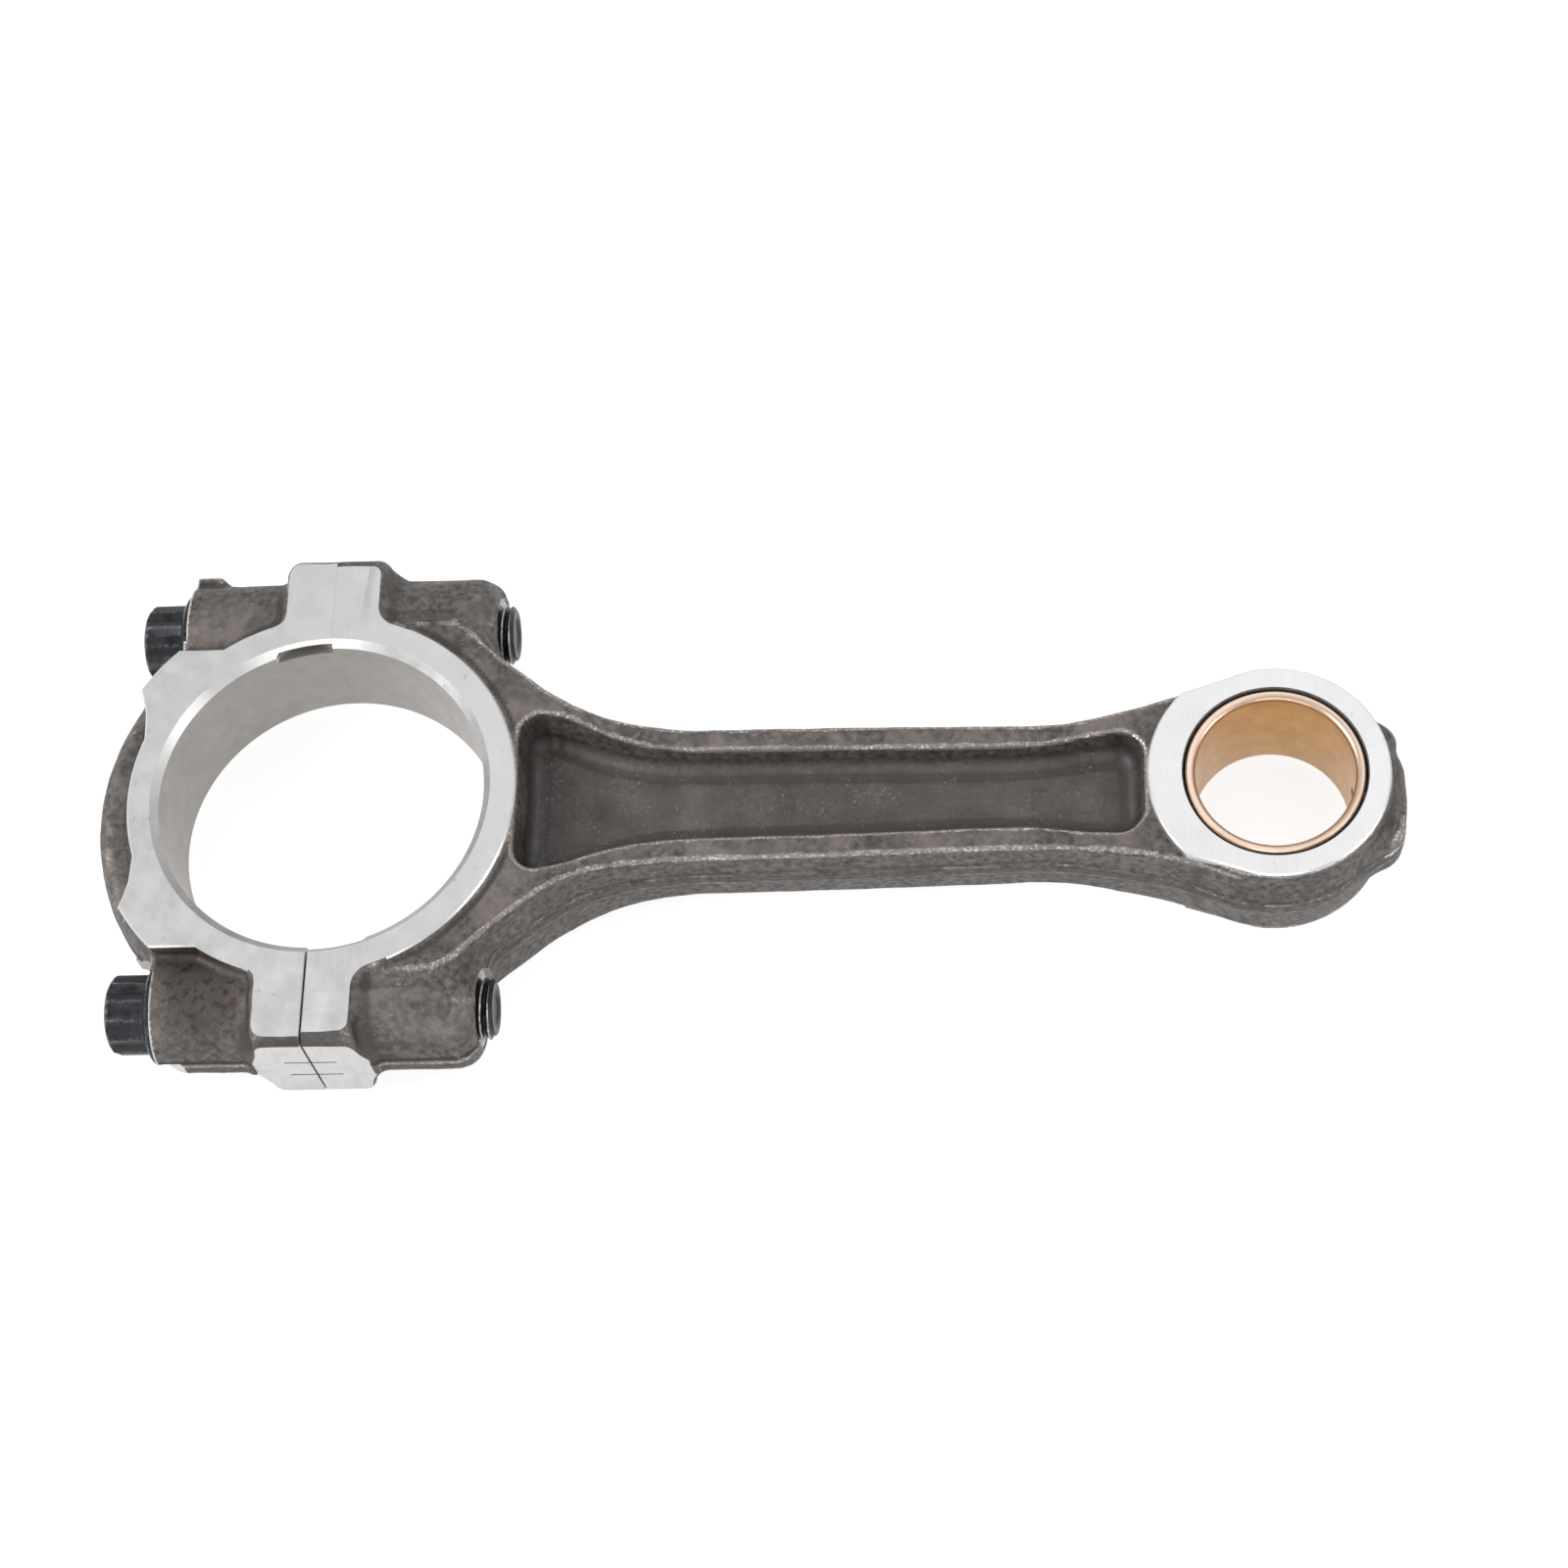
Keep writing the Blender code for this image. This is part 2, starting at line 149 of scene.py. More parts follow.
# Forging
BEAM_HALF = 7.1  # half the beam's height at mid-length, at the big end and at the small end
ROOT_HALF = 10.2
TIP_HALF = 8.9
WEB_HALF = 2.1  # half the web between the two pockets
DRAFT = math.tan(math.radians(4))
BOSS_INNER_Y = 24.0
BOSS_HALF = 9.5
BOSS_ROUND = 8.8
BOSS_OUTER_Y = 42.5
BOSS_END_X = 26.6
FACE_STEP = 0.5  # a forged wall starts this far under its ground face
WALL_INSET = 0.15  # and this far behind the machined rim
WALL_DRAFT = 0.07  # its lean outward, per mm down from the face
WALL_EDGE = 0.4
PAD_DRAFT_REACH = 1.8  # how far a pad's side face runs past the pad's end, over its drafted walls
SEAT_STOCK = 0.6  # forged metal left in front of the bolt seats for their cut
EDGE_ROUND = 0.55  # edges of the I-beam's flanges
FLASH = 0.5  # how far the trimmed parting line stands out
FLASH_HALF = 1.6
RIB_HALF = 6.0  # half the height of the cap's rib round its crown
STEP = 0.55  # spacing of the grid that the forgings are meshed on
GRID_BELOW = 22.5 * STEP  # the grid's reach below mid-height, above it and to each side
GRID_ABOVE = 12.3
GRID_SIDE = 45
FAR = 60  # well outside the big end, for cutters
PAST_TIP = 4 * FAR  # well past the small end
SKIN_DEPTH = 0.26  # a machined face is deeper than this under the forged skin


# --- Outlines -------------------------------------------------------------------------------------


def arc(centre, radius, start, stop, steps):
    """Points on an arc, angles in degrees, both ends included."""
    angles = np.radians(np.linspace(start, stop, steps + 1))
    return [(centre[0] + radius * math.cos(a), centre[1] + radius * math.sin(a)) for a in angles]


def angle_of(x, y):
    return math.degrees(math.atan2(y, x))


def mirrored(half):
    """A closed outline from its +Y half, which runs from one end on the X axis to the other."""
    return half + [(x, -y) for x, y in reversed(half) if abs(y) > 1e-9]


def smooth_curve(points, steps=6):
    """A Catmull-Rom curve through points, as two arrays."""
    p = np.array([points[0], *points, points[-1]], float)
    out = []
    for a, b, c, d in zip(p, p[1:], p[2:], p[3:]):
        for t in np.arange(steps) / steps:
            square = a - 2.5 * b + 2 * c - d / 2
            cube = 1.5 * (b - c) + (d - a) / 2
            out.append(b + t * (c - a) / 2 + t * t * square + t**3 * cube)
    out.append(p[-1])
    return np.array(out).T


def pad_fillet():
    """The centre of the fillet between ring and pad, and the angle at which it meets the ring."""
    x = PAD_HALF_X + PAD_FILLET_R
    centre = (x, math.sqrt((RING_R + PAD_FILLET_R) ** 2 - x**2))
    return centre, angle_of(*centre)


def pad_corner(start, stop):
    centre = (PAD_HALF_X - PAD_CORNER_R, PAD_FACE_Y - PAD_CORNER_R)
    return arc(centre, PAD_CORNER_R, start, stop, 6)


def ring_and_pad():
    """The +Y half of the rod's thrust face, from the ring's far end on the X axis back to the joint."""
    centre, meets = pad_fillet()
    ring = arc((0, 0), RING_R, 0, meets, 40)
    fillet = arc(centre, PAD_FILLET_R, meets + 180, 180, 8)
    return ring + fillet[1:] + pad_corner(0, 90)


def angle_at(y, radius):
    """The angle at which a circle about the bore has reached height y, in degrees."""
    return math.degrees(math.asin(y / radius))


def cap_face():
    """The +Y half of the cap's thrust face, from the joint to the crown on the -X axis."""
    centre, meets = pad_fillet()
    fillet = arc(centre, PAD_FILLET_R, 180, meets + 180, 8)
    ring = arc((0, 0), RING_R, meets, angle_at(EAR_OUT_Y, RING_R), 12)
    ear = arc((0, 0), EAR_R, angle_at(EAR_OUT_Y, EAR_R), angle_at(EAR_IN_Y, EAR_R), 8)
    notch = [(30.7, 18.3), (30.25, 16.6), (29.85, 15.0), (29.75, 13.2)]
    inner = arc((0, 0), CAP_RING_R, angle_at(CAP_RING_Y, CAP_RING_R), 0, 14)
    half = [(0, 0), (0, PAD_FACE_Y)] + pad_corner(90, 0) + fillet[1:] + ring[1:] + ear + notch + inner
    return [(-x, y) for x, y in half]


def small_face():
    """The +Y half of the small end's face: a round nose, a tapering side and the spot face's arc."""
    nose = arc((0, 0), SMALL_R, 0, 100, 40)
    spot = arc((0, 0), SPOT_FACE_R, angle_of(*SPOT_CORNER), 180, 16)
    return [(CENTRES + x, y) for x, y in nose + spot]


def pocket_outline():
    """The +Y half of the I-beam's pocket at its rim."""
    big = arc((35.3, 9.9), 3.7, 180, 70, 8)
    x, y = smooth_curve(
        [(38.0, 13.2), (41, 12.2), (46, 10.1), (52, 8.5), (60, 7.7), (84, 7.4), (108, 7.0)]
        + [(116, 7.3), (123, 8.3)]
    )
    small = arc((127.1, 4.3), 4.5, 78, 0, 8)
    return [(31.6, 0)] + big + list(zip(x, y)) + small + [(131.6, 0)]


# Half the beam's width at its top, and half its height, along X
HALF_WIDTH = smooth_curve(
    [(20, 30.5), (24, 27.8), (28, 24.1), (32, 20.9), (36, 17.8), (40, 15.4), (44, 13.8), (48, 12.8)]
    + [(54, 11.9), (62, 11.5), (84, 11.3), (106, 10.9), (116, 10.8), (124, 11.6), (131, 12.9)]
    + [(137, 14.4), (143, 16.3), (148, 17.4), (156, 17.6)]
)
HALF_HEIGHT = smooth_curve(
    [(10, ROOT_HALF), (36, ROOT_HALF), (40, 9.9), (44, 9.1), (48, 8.3), (52, 7.6), (58, 7.2)]
    + [(66, BEAM_HALF), (112, BEAM_HALF), (120, 7.2), (124, 7.6), (128, 8.2), (132, 8.6)]
    + [(136, TIP_HALF), (156, TIP_HALF)]
)


# --- Distance fields ------------------------------------------------------------------------------


def both(a, b, r):
    """Where two fields overlap, its edge rounded by r."""
    return np.minimum(-r, np.maximum(a, b)) + np.hypot(np.maximum(a + r, 0), np.maximum(b + r, 0))


def either(a, b, r):
    """Two fields joined by a fillet of radius r."""
    return np.maximum(r, np.minimum(a, b)) - np.hypot(np.maximum(r - a, 0), np.maximum(r - b, 0))


def outline_field(x, y, outline):
    """Distance to a closed outline in plan, negative inside."""
    best, inside = np.inf, False
    for (ax, ay), (bx, by) in zip(outline, outline[1:] + outline[:1]):
        ex, ey = bx - ax, by - ay
        wx, wy = x - ax, y - ay
        t = np.clip((wx * ex + wy * ey) / (ex * ex + ey * ey), 0, 1)
        best = np.minimum(best, (wx - ex * t) ** 2 + (wy - ey * t) ** 2)
        if ey:
            inside = inside ^ (((ay > y) != (by > y)) & (wx < wy * ex / ey))
    return np.where(inside, -1, 1) * np.sqrt(best)


def along(curve, x):
    """The value of a curve at x, and its slope over 1 mm."""
    slope = np.interp(x + 0.5, *curve) - np.interp(x - 0.5, *curve)
    return np.interp(x, *curve), slope


def rounded_bar(y, z, middle, half_y, half_z, r):
    """A bar along X whose section is a rounded rectangle."""
    v = np.abs(y - middle) - half_y + r
    u = np.abs(z) - half_z + r
    return np.hypot(np.maximum(v, 0), np.maximum(u, 0)) + np.minimum(np.maximum(v, u), 0) - r


def beam_field(x, v, u):
    """The I-beam with its pockets, flaring into the big end."""
    width, lean = along(HALF_WIDTH, x)
    height, rise = along(HALF_HEIGHT, x)
    wall = (v - width - DRAFT * (height - u)) / np.sqrt(1 + lean**2)
    top = (u - height) / np.sqrt(1 + rise**2)
    body = both(wall, top, EDGE_ROUND)
    body = both(body, x - CENTRES + 1, 5.0)
    rim = outline_field(x, v, POCKET) + DRAFT * 2.5 * (height - u)
    pocket = both(rim, WEB_HALF - u, 2.6)
    return both(body, -pocket, EDGE_ROUND)


def pad_field(x, v, u):
    """The pad across the joint, with drafted end walls and a rounded outer edge."""
    lean = np.where(x > 0, 0.2, 0.15)
    ends = (np.abs(x) - PAD_HALF_X - 0.1 - lean * (BIG_HALF - u)) * 0.985
    section = both(v - PAD_SIDE_Y - 0.5, u - BIG_HALF - 0.4, 4.0)
    return both(both(ends, section, 1.6), 24 - v, 0.5)


def boss_field(x, v, u, end, r=4.0):
    """A bolt boss: a rounded bar about the bolt that ends at a rounded face."""
    middle, half = (BOSS_INNER_Y + BOSS_OUTER_Y) / 2, (BOSS_OUTER_Y - BOSS_INNER_Y) / 2
    bar = rounded_bar(v, u, middle, half, BOSS_HALF, BOSS_ROUND)
    return both(bar, end, r)


def with_flash(body, x, y, z, stands):
    """Adds the parting line's trimmed flash, at mid-height, to a body field."""
    reach = body(x, y, np.zeros_like(z)) - stands(x)
    return either(body(x, y, z), both(reach, np.abs(z) - FLASH_HALF, 0.25), 0.35)


def rod_body(x, y, z):
    """The rod's forging without its flash."""
    v, u = np.abs(y), np.abs(z)
    wall = np.hypot(x, y) - RING_R + WALL_INSET - WALL_DRAFT * (BIG_HALF - u)
    ring = both(wall, u - BIG_HALF + FACE_STEP, WALL_EDGE)
    body = either(beam_field(x, v, u), ring, 1.2)
    body = either(body, boss_field(x, v, u, x - BOSS_END_X), 3.0)
    body = either(body, pad_field(x, v, u), 2.2)
    to_axis = np.hypot(x - CENTRES, y)
    wall = to_axis - SMALL_R - 0.12 * (SMALL_HALF - u)
    body = either(body, both(wall, u - SMALL_HALF + FACE_STEP, WALL_EDGE), 1.5)

    # The rounded nub at the tip, with a shallow dent on its +Y side
    reach = CENTRES + TIP_REACH - 0.012 * (y + 1) ** 2 - 0.6 * np.exp(-(((y - 5.5) / 1.8) ** 2))
    tip = both(both(x - reach, v - 12 + (x - 166) * 0.3, 2.5), u - 5.5, 2.0)
    tip = np.maximum(tip, CENTRES + 8 - x)
    return either(body, tip, 1.8)


def rod_field(x, y, z):
    """The rod's forging, a little past the joint."""

    def stands(at):
        return np.interp(at, [BOSS_END_X, BOSS_END_X + 2], [FLASH, 0])

    return np.maximum(with_flash(rod_body, x, y, z, stands), -2 - x)


def cap_body(x, y, z):
    """The cap's forging without its flash: crown, face, bosses, pads and the lug on the far boss."""
    v, u = np.abs(y), np.abs(z)
    crown = both(np.hypot(x, y) - CROWN_R + 0.15 * u, u - RIB_HALF, 2.4)
    crown = np.maximum(crown, v - 30)
    face = outline_field(x, v, CAP_FACE) + WALL_INSET - WALL_DRAFT * (BIG_HALF - u)
    face = both(face, u - BIG_HALF + FACE_STEP, WALL_EDGE)
    body = either(crown, face, 1.6)
    behind_seat = SEAT_X - SEAT_STOCK - x
    body = either(body, boss_field(x, v, u, behind_seat, 0.3), 2.0)
    body = either(body, pad_field(x, v, u), 2.2)
    across = both(OUTER_Y - 7 - y, y - OUTER_Y + 0.1, 0.5)
    lug = both(across, both(x + 20 + 0.3 * (z - 3), z - 5.5, 0.6), 0.8)
    lug = np.maximum(lug, np.maximum(behind_seat, -2 - z))
    return either(body, lug, 0.9)


def cap_field(x, y, z):
    """The cap's forging, a little past the joint, its flash on the bosses and pads only."""

    def stands(_):
        return FLASH * (np.abs(y) > BOSS_INNER_Y)

    return np.maximum(with_flash(cap_body, x, y, z, stands), x - 2)


POCKET = mirrored(pocket_outline())
CAP_FACE = mirrored(cap_face())


# --- Meshes ---------------------------------------------------------------------------------------


def surface_net(field, low, high, step):
    """The zero surface of a field as vertices and quads, one vertex in each grid cell that it crosses."""
    low = np.array(low, float)
    axes = [np.arange(a, b + step, step) for a, b in zip(low, high)]
    grid = np.meshgrid(*axes, indexing="ij", sparse=True)
    values = np.array(np.broadcast_to(field(*grid), [len(a) for a in axes]))
    inside = values < 0
    shape = np.array(inside.shape) - 1
    corners = [(i, j, k) for i in (0, 1) for j in (0, 1) for k in (0, 1)]
    filled = np.zeros(shape, np.int8)
    for i, j, k in corners:
        filled += inside[i : i + shape[0], j : j + shape[1], k : k + shape[2]]
    active = (filled > 0) & (filled < 8)
    number = np.full(shape, -1)
    number[active] = np.arange(active.sum())
    cells = np.argwhere(active)
    total = np.zeros(cells.shape)
    crossings = np.zeros((len(cells), 1))
    for corner in corners:
        for axis in range(3):
            if corner[axis]:
                continue
            other = np.array(corner)
            other[axis] = 1
            a = values[tuple((cells + corner).T)]
            b = values[tuple((cells + other).T)]
            crossed = (a < 0) != (b < 0)
            points = np.tile(np.array(corner, float), (crossed.sum(), 1))
            points[:, axis] = a[crossed] / (a[crossed] - b[crossed])
            total[crossed] += points
            crossings[crossed] += 1
    vertices = low + step * (cells + total / crossings)

    quads = []
    for axis in range(3):
        u, v = (axis + 1) % 3, (axis + 2) % 3
        start = np.moveaxis(inside, axis, 0)[:-1]
        stop = np.moveaxis(inside, axis, 0)[1:]
        at = np.argwhere(np.moveaxis(start != stop, 0, axis))
        at = at[(at[:, u] > 0) & (at[:, v] > 0) & (at[:, u] < shape[u]) & (at[:, v] < shape[v])]
        du, dv = np.eye(3, dtype=int)[u], np.eye(3, dtype=int)[v]
        ring = [number[tuple((at - s * du - t * dv).T)] for s, t in ((1, 1), (0, 1), (0, 0), (1, 0))]
        quad = np.stack(ring, 1)
        outward = inside[tuple(at.T)]
        quad[~outward] = quad[~outward][:, ::-1]
        quads.append(quad)
    return vertices, np.concatenate(quads)


def slope_of(field, points, reach=0.02):
    """A field's value and gradient at points."""
    value = field(*points.T)
    steps = reach * np.eye(3)
    return value, np.stack([(field(*(points + s).T) - value) / reach for s in steps], 1)


def pull_to_surface(field, points, rounds=3, most=0.3):
    """Moves points onto a field's zero surface, by at most most mm a round."""
    for _ in range(rounds):
        value, slope = slope_of(field, points)
        move = slope * (value / np.maximum((slope**2).sum(1), 0.2))[:, None]
        length = np.maximum(np.linalg.norm(move, axis=1, keepdims=True), 1e-12)
        points = points - move * np.minimum(1, most / length)
    return points


def waves(points, seed, lengths, size):
    """Low, smooth unevenness: a sum of sine waves in seeded directions."""
    dice = np.random.default_rng(seed)
    total = np.zeros(len(points))
    for length in lengths:
        for _ in range(4):
            way = dice.normal(size=3)
            way *= 2 * math.pi / length / np.linalg.norm(way)
            total += np.sin(points @ way + dice.uniform(0, 2 * math.pi)) * size / 4
    return total


def new_object(name, vertices, faces):
    """An object from vertices in millimetres about the big end's centre."""
    mesh = bpy.data.meshes.new(name)
    places = (np.array(vertices, float) + CENTRE) * MM
    mesh.from_pydata(places.tolist(), [], [list(map(int, face)) for face in faces])
    mesh.validate()
    made = bpy.data.objects.new(name, mesh)
    bpy.context.scene.collection.objects.link(made)
    return made


def forge(name, field, low, high, seed):
    """A forging's surface with the slight unevenness of the dies."""
    vertices, quads = surface_net(field, low, high, STEP)
    vertices = pull_to_surface(field, vertices)
    value, slope = slope_of(field, vertices)
    slope /= np.maximum(np.linalg.norm(slope, axis=1, keepdims=True), 1e-6)
    vertices = vertices - slope * (0.05 + waves(vertices, seed, (5.0, 9.0, 17.0), 0.05))[:, None]
    return new_object(name, vertices, quads)


def slab(name, outline, low, high, rim=0.0):
    """An outline extruded from low to high, both its rims broken by a chamfer."""
    pts = np.array(outline, float)
    around = np.roll(pts, -1, 0) - np.roll(pts, 1, 0)
    around /= np.linalg.norm(around, axis=1, keepdims=True)
    area = np.sum(pts[:, 0] * np.roll(pts[:, 1], -1) - np.roll(pts[:, 0], -1) * pts[:, 1])
    inward = np.stack([-around[:, 1], around[:, 0]], 1) * np.sign(area)
    if area < 0:
        pts, inward = pts[::-1], inward[::-1]
    layers = [(low, 0.0), (high, 0.0)]
    if rim:
        layers = [(low, rim), (low + rim, 0.0), (high - rim, 0.0), (high, rim)]
    rows = [np.c_[pts + inward * back, np.full(len(pts), z)] for z, back in layers]
    n = len(pts)
    faces = [list(range(n))[::-1]]
    for a in range(0, (len(rows) - 1) * n, n):
        faces += [(a + i, a + (i + 1) % n, a + n + (i + 1) % n, a + n + i) for i in range(n)]
    faces.append([(len(rows) - 1) * n + i for i in range(n)])
    return new_object(name, np.concatenate(rows), faces)


def turned(name, profile, sides, frame_of):
    """A closed solid turned about Z from (radius, height) points, then put in place by (turn, centre)."""
    angles = np.arange(sides) * 2 * math.pi / sides
    rows = []
    for r, h in profile:
        rows.append(np.c_[r * np.cos(angles), r * np.sin(angles), np.full(sides, h)])
    vertices = np.concatenate(rows)
    faces = []
    count = len(profile)
    loop = abs(profile[0][0] - profile[-1][0]) < 1e-9 and abs(profile[0][1] - profile[-1][1]) < 1e-9
    if loop:
        count -= 1
        vertices = vertices[: count * sides]
    for k in range(count if loop else count - 1):
        a, b = k * sides, (k + 1) % count * sides
        for i in range(sides):
            j = (i + 1) % sides
            faces.append((a + i, b + i, b + j, a + j))
    if not loop:
        faces.append(list(range(sides)))
        faces.append([(count - 1) * sides + i for i in reversed(range(sides))])
    turn, centre = frame_of
    return new_object(name, vertices @ np.array(turn).T + np.array(centre), faces)


ALONG_X = ((0, 0, 1), (0, 1, 0), (-1, 0, 0))  # turns a solid about Z into one about X


def rod_of(name, axis, centre, radius, low, high, sides=48):
    """A plain round cutter from low to high along X or Z."""
    turn = ALONG_X if axis == "X" else np.eye(3)
    return turned(name, [(radius, high), (radius, low)], sides, (turn, centre))


def block(name, low, high):
    """A box between two opposite corners."""
    corners = [(low[0], low[1]), (high[0], low[1]), (high[0], high[1]), (low[0], high[1])]
    return slab(name, corners, low[2], high[2])


def prism_along_y(name, section, low, high):
    """A convex section of (x, z) points extruded along Y."""
    made = slab(name, [(x, -z) for x, z in section], low, high)
    about = Matrix.Translation(Vector(CENTRE * MM))
    turn = Matrix(((1, 0, 0), (0, 0, 1), (0, -1, 0))).to_4x4()
    made.data.transform(about @ turn @ about.inverted())
    return made


def bake(target):
    """Applies an object's modifiers."""
    graph = bpy.context.evaluated_depsgraph_get()
    mesh = bpy.data.meshes.new_from_object(target.evaluated_get(graph))
    target.modifiers.clear()
    old, target.data = target.data, mesh
    bpy.data.meshes.remove(old)


def machine(target, tools, operation="DIFFERENCE"):
    """Cuts tools from a target, or joins them to it, and removes them."""
    for tool in tools:
        step = target.modifiers.new(tool.name, "BOOLEAN")
        step.operation = operation
        step.solver = "MANIFOLD"
        step.object = tool
    bake(target)
    for tool in tools:
        bpy.data.objects.remove(tool)


def bore_cutter(name, x, radius, chamfer, half):
    """A cutter for a bore at x along Z, with a 45 degree chamfer at both ends."""
    over = 2.0
    flare = radius + chamfer + over
    upper = [(flare, half + over), (radius, half - chamfer)]
    profile = upper + [(r, -h) for r, h in reversed(upper)]
    return turned(name, profile, 256, (np.eye(3), (x, 0, 0)))


def bolt_hole_tools(side):
    """The bolt's hole through both halves, the dowel's seat across the joint and their lead-in chamfers."""
    y = side * BOLT_Y
    seat = DOWEL_R + GAP
    depth = DOWEL_HALF + GAP
    lead = 0.5
    seat_profile = [
        (BOSS_SPOT_R, FAR),
        (BOSS_SPOT_R, BOSS_END_X - 0.3),
        (BOLT_HOLE_R + 0.8, BOSS_END_X - 0.3),
        (BOLT_HOLE_R, BOSS_END_X - 1.1),
        (BOLT_HOLE_R, depth),
        (seat, depth),
        (seat, GAP / 2 + lead),
        (seat + lead, GAP / 2),
        (seat + lead, -GAP / 2),
        (seat, -GAP / 2 - lead),
        (seat, -depth),
        (BOLT_HOLE_R, -depth),
        (BOLT_HOLE_R, -FAR),
    ]
    return [turned("bolt_hole", seat_profile, 64, (ALONG_X, (0, y, 0)))]


def outer_trims(side, pad):
    """Cutters for a pad's side face, over pad in X, and for flash that would stand out too far."""
    cuts = []
    for (start, stop), y in ((pad, PAD_SIDE_Y), ((-FAR, FAR), OUTER_Y)):
        low, high = sorted((side * y, side * FAR))
        cuts.append(block("outer_trim", (start, low, -FAR), (stop, high, FAR)))
    return cuts


def joint_tools(half):
    """Cutters at the joint for the rod (half 1) or the cap (half -1).

    They leave its face, its broken edges and the witness lines.
    """
    cuts = []
    for side, width in ((-1, NEAR_JOINT), (1, FAR_JOINT)):
        low, high = sorted((0, side * FAR))
        x = sorted((half * width / 2, -half * FAR))
        cuts.append(block("joint_face", (x[0], low, -FAR), (x[1], high, FAR)))
    reach = NEAR_JOINT / 2 + JOINT_BREAK
    for z in (-BIG_HALF, BIG_HALF):
        groove = [(-reach, z), (0, z - reach), (reach, z), (0, z + reach)]
        cuts.append(prism_along_y("joint_edge", groove, -FAR, 0))
    for side in (-1, 1):
        y = side * PAD_SIDE_Y
        cuts.append(slab("joint_edge", [(-reach, y), (0, y - reach), (reach, y), (0, y + reach)], -FAR, FAR))
    for z in (-MARK_Z, MARK_Z):
        low = (-MARK_REACH, -FAR, z - MARK_HALF)
        cuts.append(block("witness_line", low, (MARK_REACH, MARK_DEPTH - PAD_SIDE_Y, z + MARK_HALF)))
    return cuts


def tang_tools(side):
    """Cutters for the bearing tang's slot: its wall, with a slight undercut at the top."""
    at = (TANG_X, -TANG_Y, 0) if side < 0 else (-TANG_X, TANG_Y, 0)
    floor, corner, top = TANG_Z
    wall = rod_of("tang_slot", "Z", at, TANG_R, floor, corner + TANG_UNDERCUT, 96)
    return [wall, rod_of("tang_slot", "Z", at, TANG_R + TANG_UNDERCUT, corner, top, 96)]


def make_rod():
    """The rod: forged, given its thrust faces, then bored, faced, drilled and split."""
    low, high = (-3, -GRID_SIDE, -GRID_BELOW), (CENTRES + 23, GRID_SIDE, GRID_ABOVE)
    rod = forge("rod_forging_body", rod_field, low, high, 11)
    outline = ring_and_pad() + [(-1, PAD_FACE_Y), (-1, 0)]
    big = slab("big_face", mirrored(outline), -BIG_HALF, BIG_HALF, RIM)
    small = slab("small_face", mirrored(small_face()), -SMALL_HALF, SMALL_HALF, RIM)
    machine(rod, [big, small], "UNION")
    cuts = [
        bore_cutter("big_bore", 0, BORE_R, BORE_CHAMFER, BIG_HALF),
        bore_cutter("small_bore", CENTRES, BUSH_R + GAP, 0.2, SMALL_HALF),
        block("above", (-FAR, -FAR, BIG_HALF), (PAST_TIP, FAR, FAR)),
        block("below", (-FAR, -FAR, -FAR), (PAST_TIP, FAR, -BIG_HALF)),
        *joint_tools(1),
        *tang_tools(-1),
        rod_of("oil_hole", "X", (CENTRES, 0, 0), OIL_R, OIL_START, TIP_REACH + 4, 24),
    ]
    for side in (1, -1):
        cuts += bolt_hole_tools(side)
        cuts += outer_trims(side, (-FAR, PAD_HALF_X + PAD_DRAFT_REACH))
    cuts.append(block("tip_trim", (CENTRES + TIP_REACH, -FAR, -FAR), (PAST_TIP, FAR, FAR)))
    machine(rod, cuts)
    return rod


def make_cap():
    """The cap: forged, given its thrust faces, then bored, drilled and cut for the bolt seats."""
    low, high = (-CROWN_R - 2, -GRID_SIDE, -GRID_BELOW), (3, GRID_SIDE, GRID_ABOVE)
    cap = forge("bearing_cap_body", cap_field, low, high, 12)
    outline = [(1, 0), (1, PAD_FACE_Y)] + cap_face()[1:]
    machine(cap, [slab("cap_face", mirrored(outline), -BIG_HALF, BIG_HALF, RIM)], "UNION")
    cuts = [
        bore_cutter("cap_bore", 0, BORE_R, BORE_CHAMFER, BIG_HALF),
        block("above", (-FAR, -FAR, BIG_HALF), (FAR, FAR, FAR)),
        block("below", (-FAR, -FAR, -FAR), (FAR, FAR, -BIG_HALF)),
        *joint_tools(-1),
        *tang_tools(1),
    ]
    for side in (1, -1):
        cuts += bolt_hole_tools(side)
        cuts += outer_trims(side, (-PAD_HALF_X - PAD_DRAFT_REACH, FAR))
        low, high = sorted((side * SEAT_IN_Y, side * FAR))
        cuts.append(block("seat", (-FAR, low, -FAR), (SEAT_X, high, FAR)))
        cuts.append(rod_of("spot_face", "X", (0, side * BOLT_Y, 0), SPOT_R, -FAR, SEAT_X, 96))
    cuts.append(block("crown_trim", (-FAR, -FAR, -FAR), (-CROWN_R, FAR, FAR)))
    # A facet ground on the lower outside corner of the near boss
    facet = [(SEAT_X - 1, -38.9), (SEAT_X + 6.4, -44.5), (SEAT_X - 1, -44.5)]
    cuts.append(slab("seat_facet", facet, -FAR, 1.7))
    machine(cap, cuts)
    return cap


def spun(name, rows, turn, centre):
    """A closed solid about Z from (height, radii) rows, top row first, with a radius for every column."""
    sides = BOLT_SIDES
    angles = np.arange(sides) * 2 * math.pi / sides
    unit = np.c_[np.cos(angles), np.sin(angles)]
    vertices = np.concatenate([np.c_[unit * r[:, None], np.full(sides, h)] for h, r in rows])
    column = np.arange(sides)
    after = (column + 1) % sides
    faces = [
        np.stack([k + column, k + sides + column, k + sides + after, k + after], 1)
        for k in np.arange(len(rows) - 1) * sides
    ]
    faces = list(np.concatenate(faces)) + [column, column[::-1] + (len(rows) - 1) * sides]
    return new_object(name, vertices @ np.array(turn).T + np.array(centre), faces)


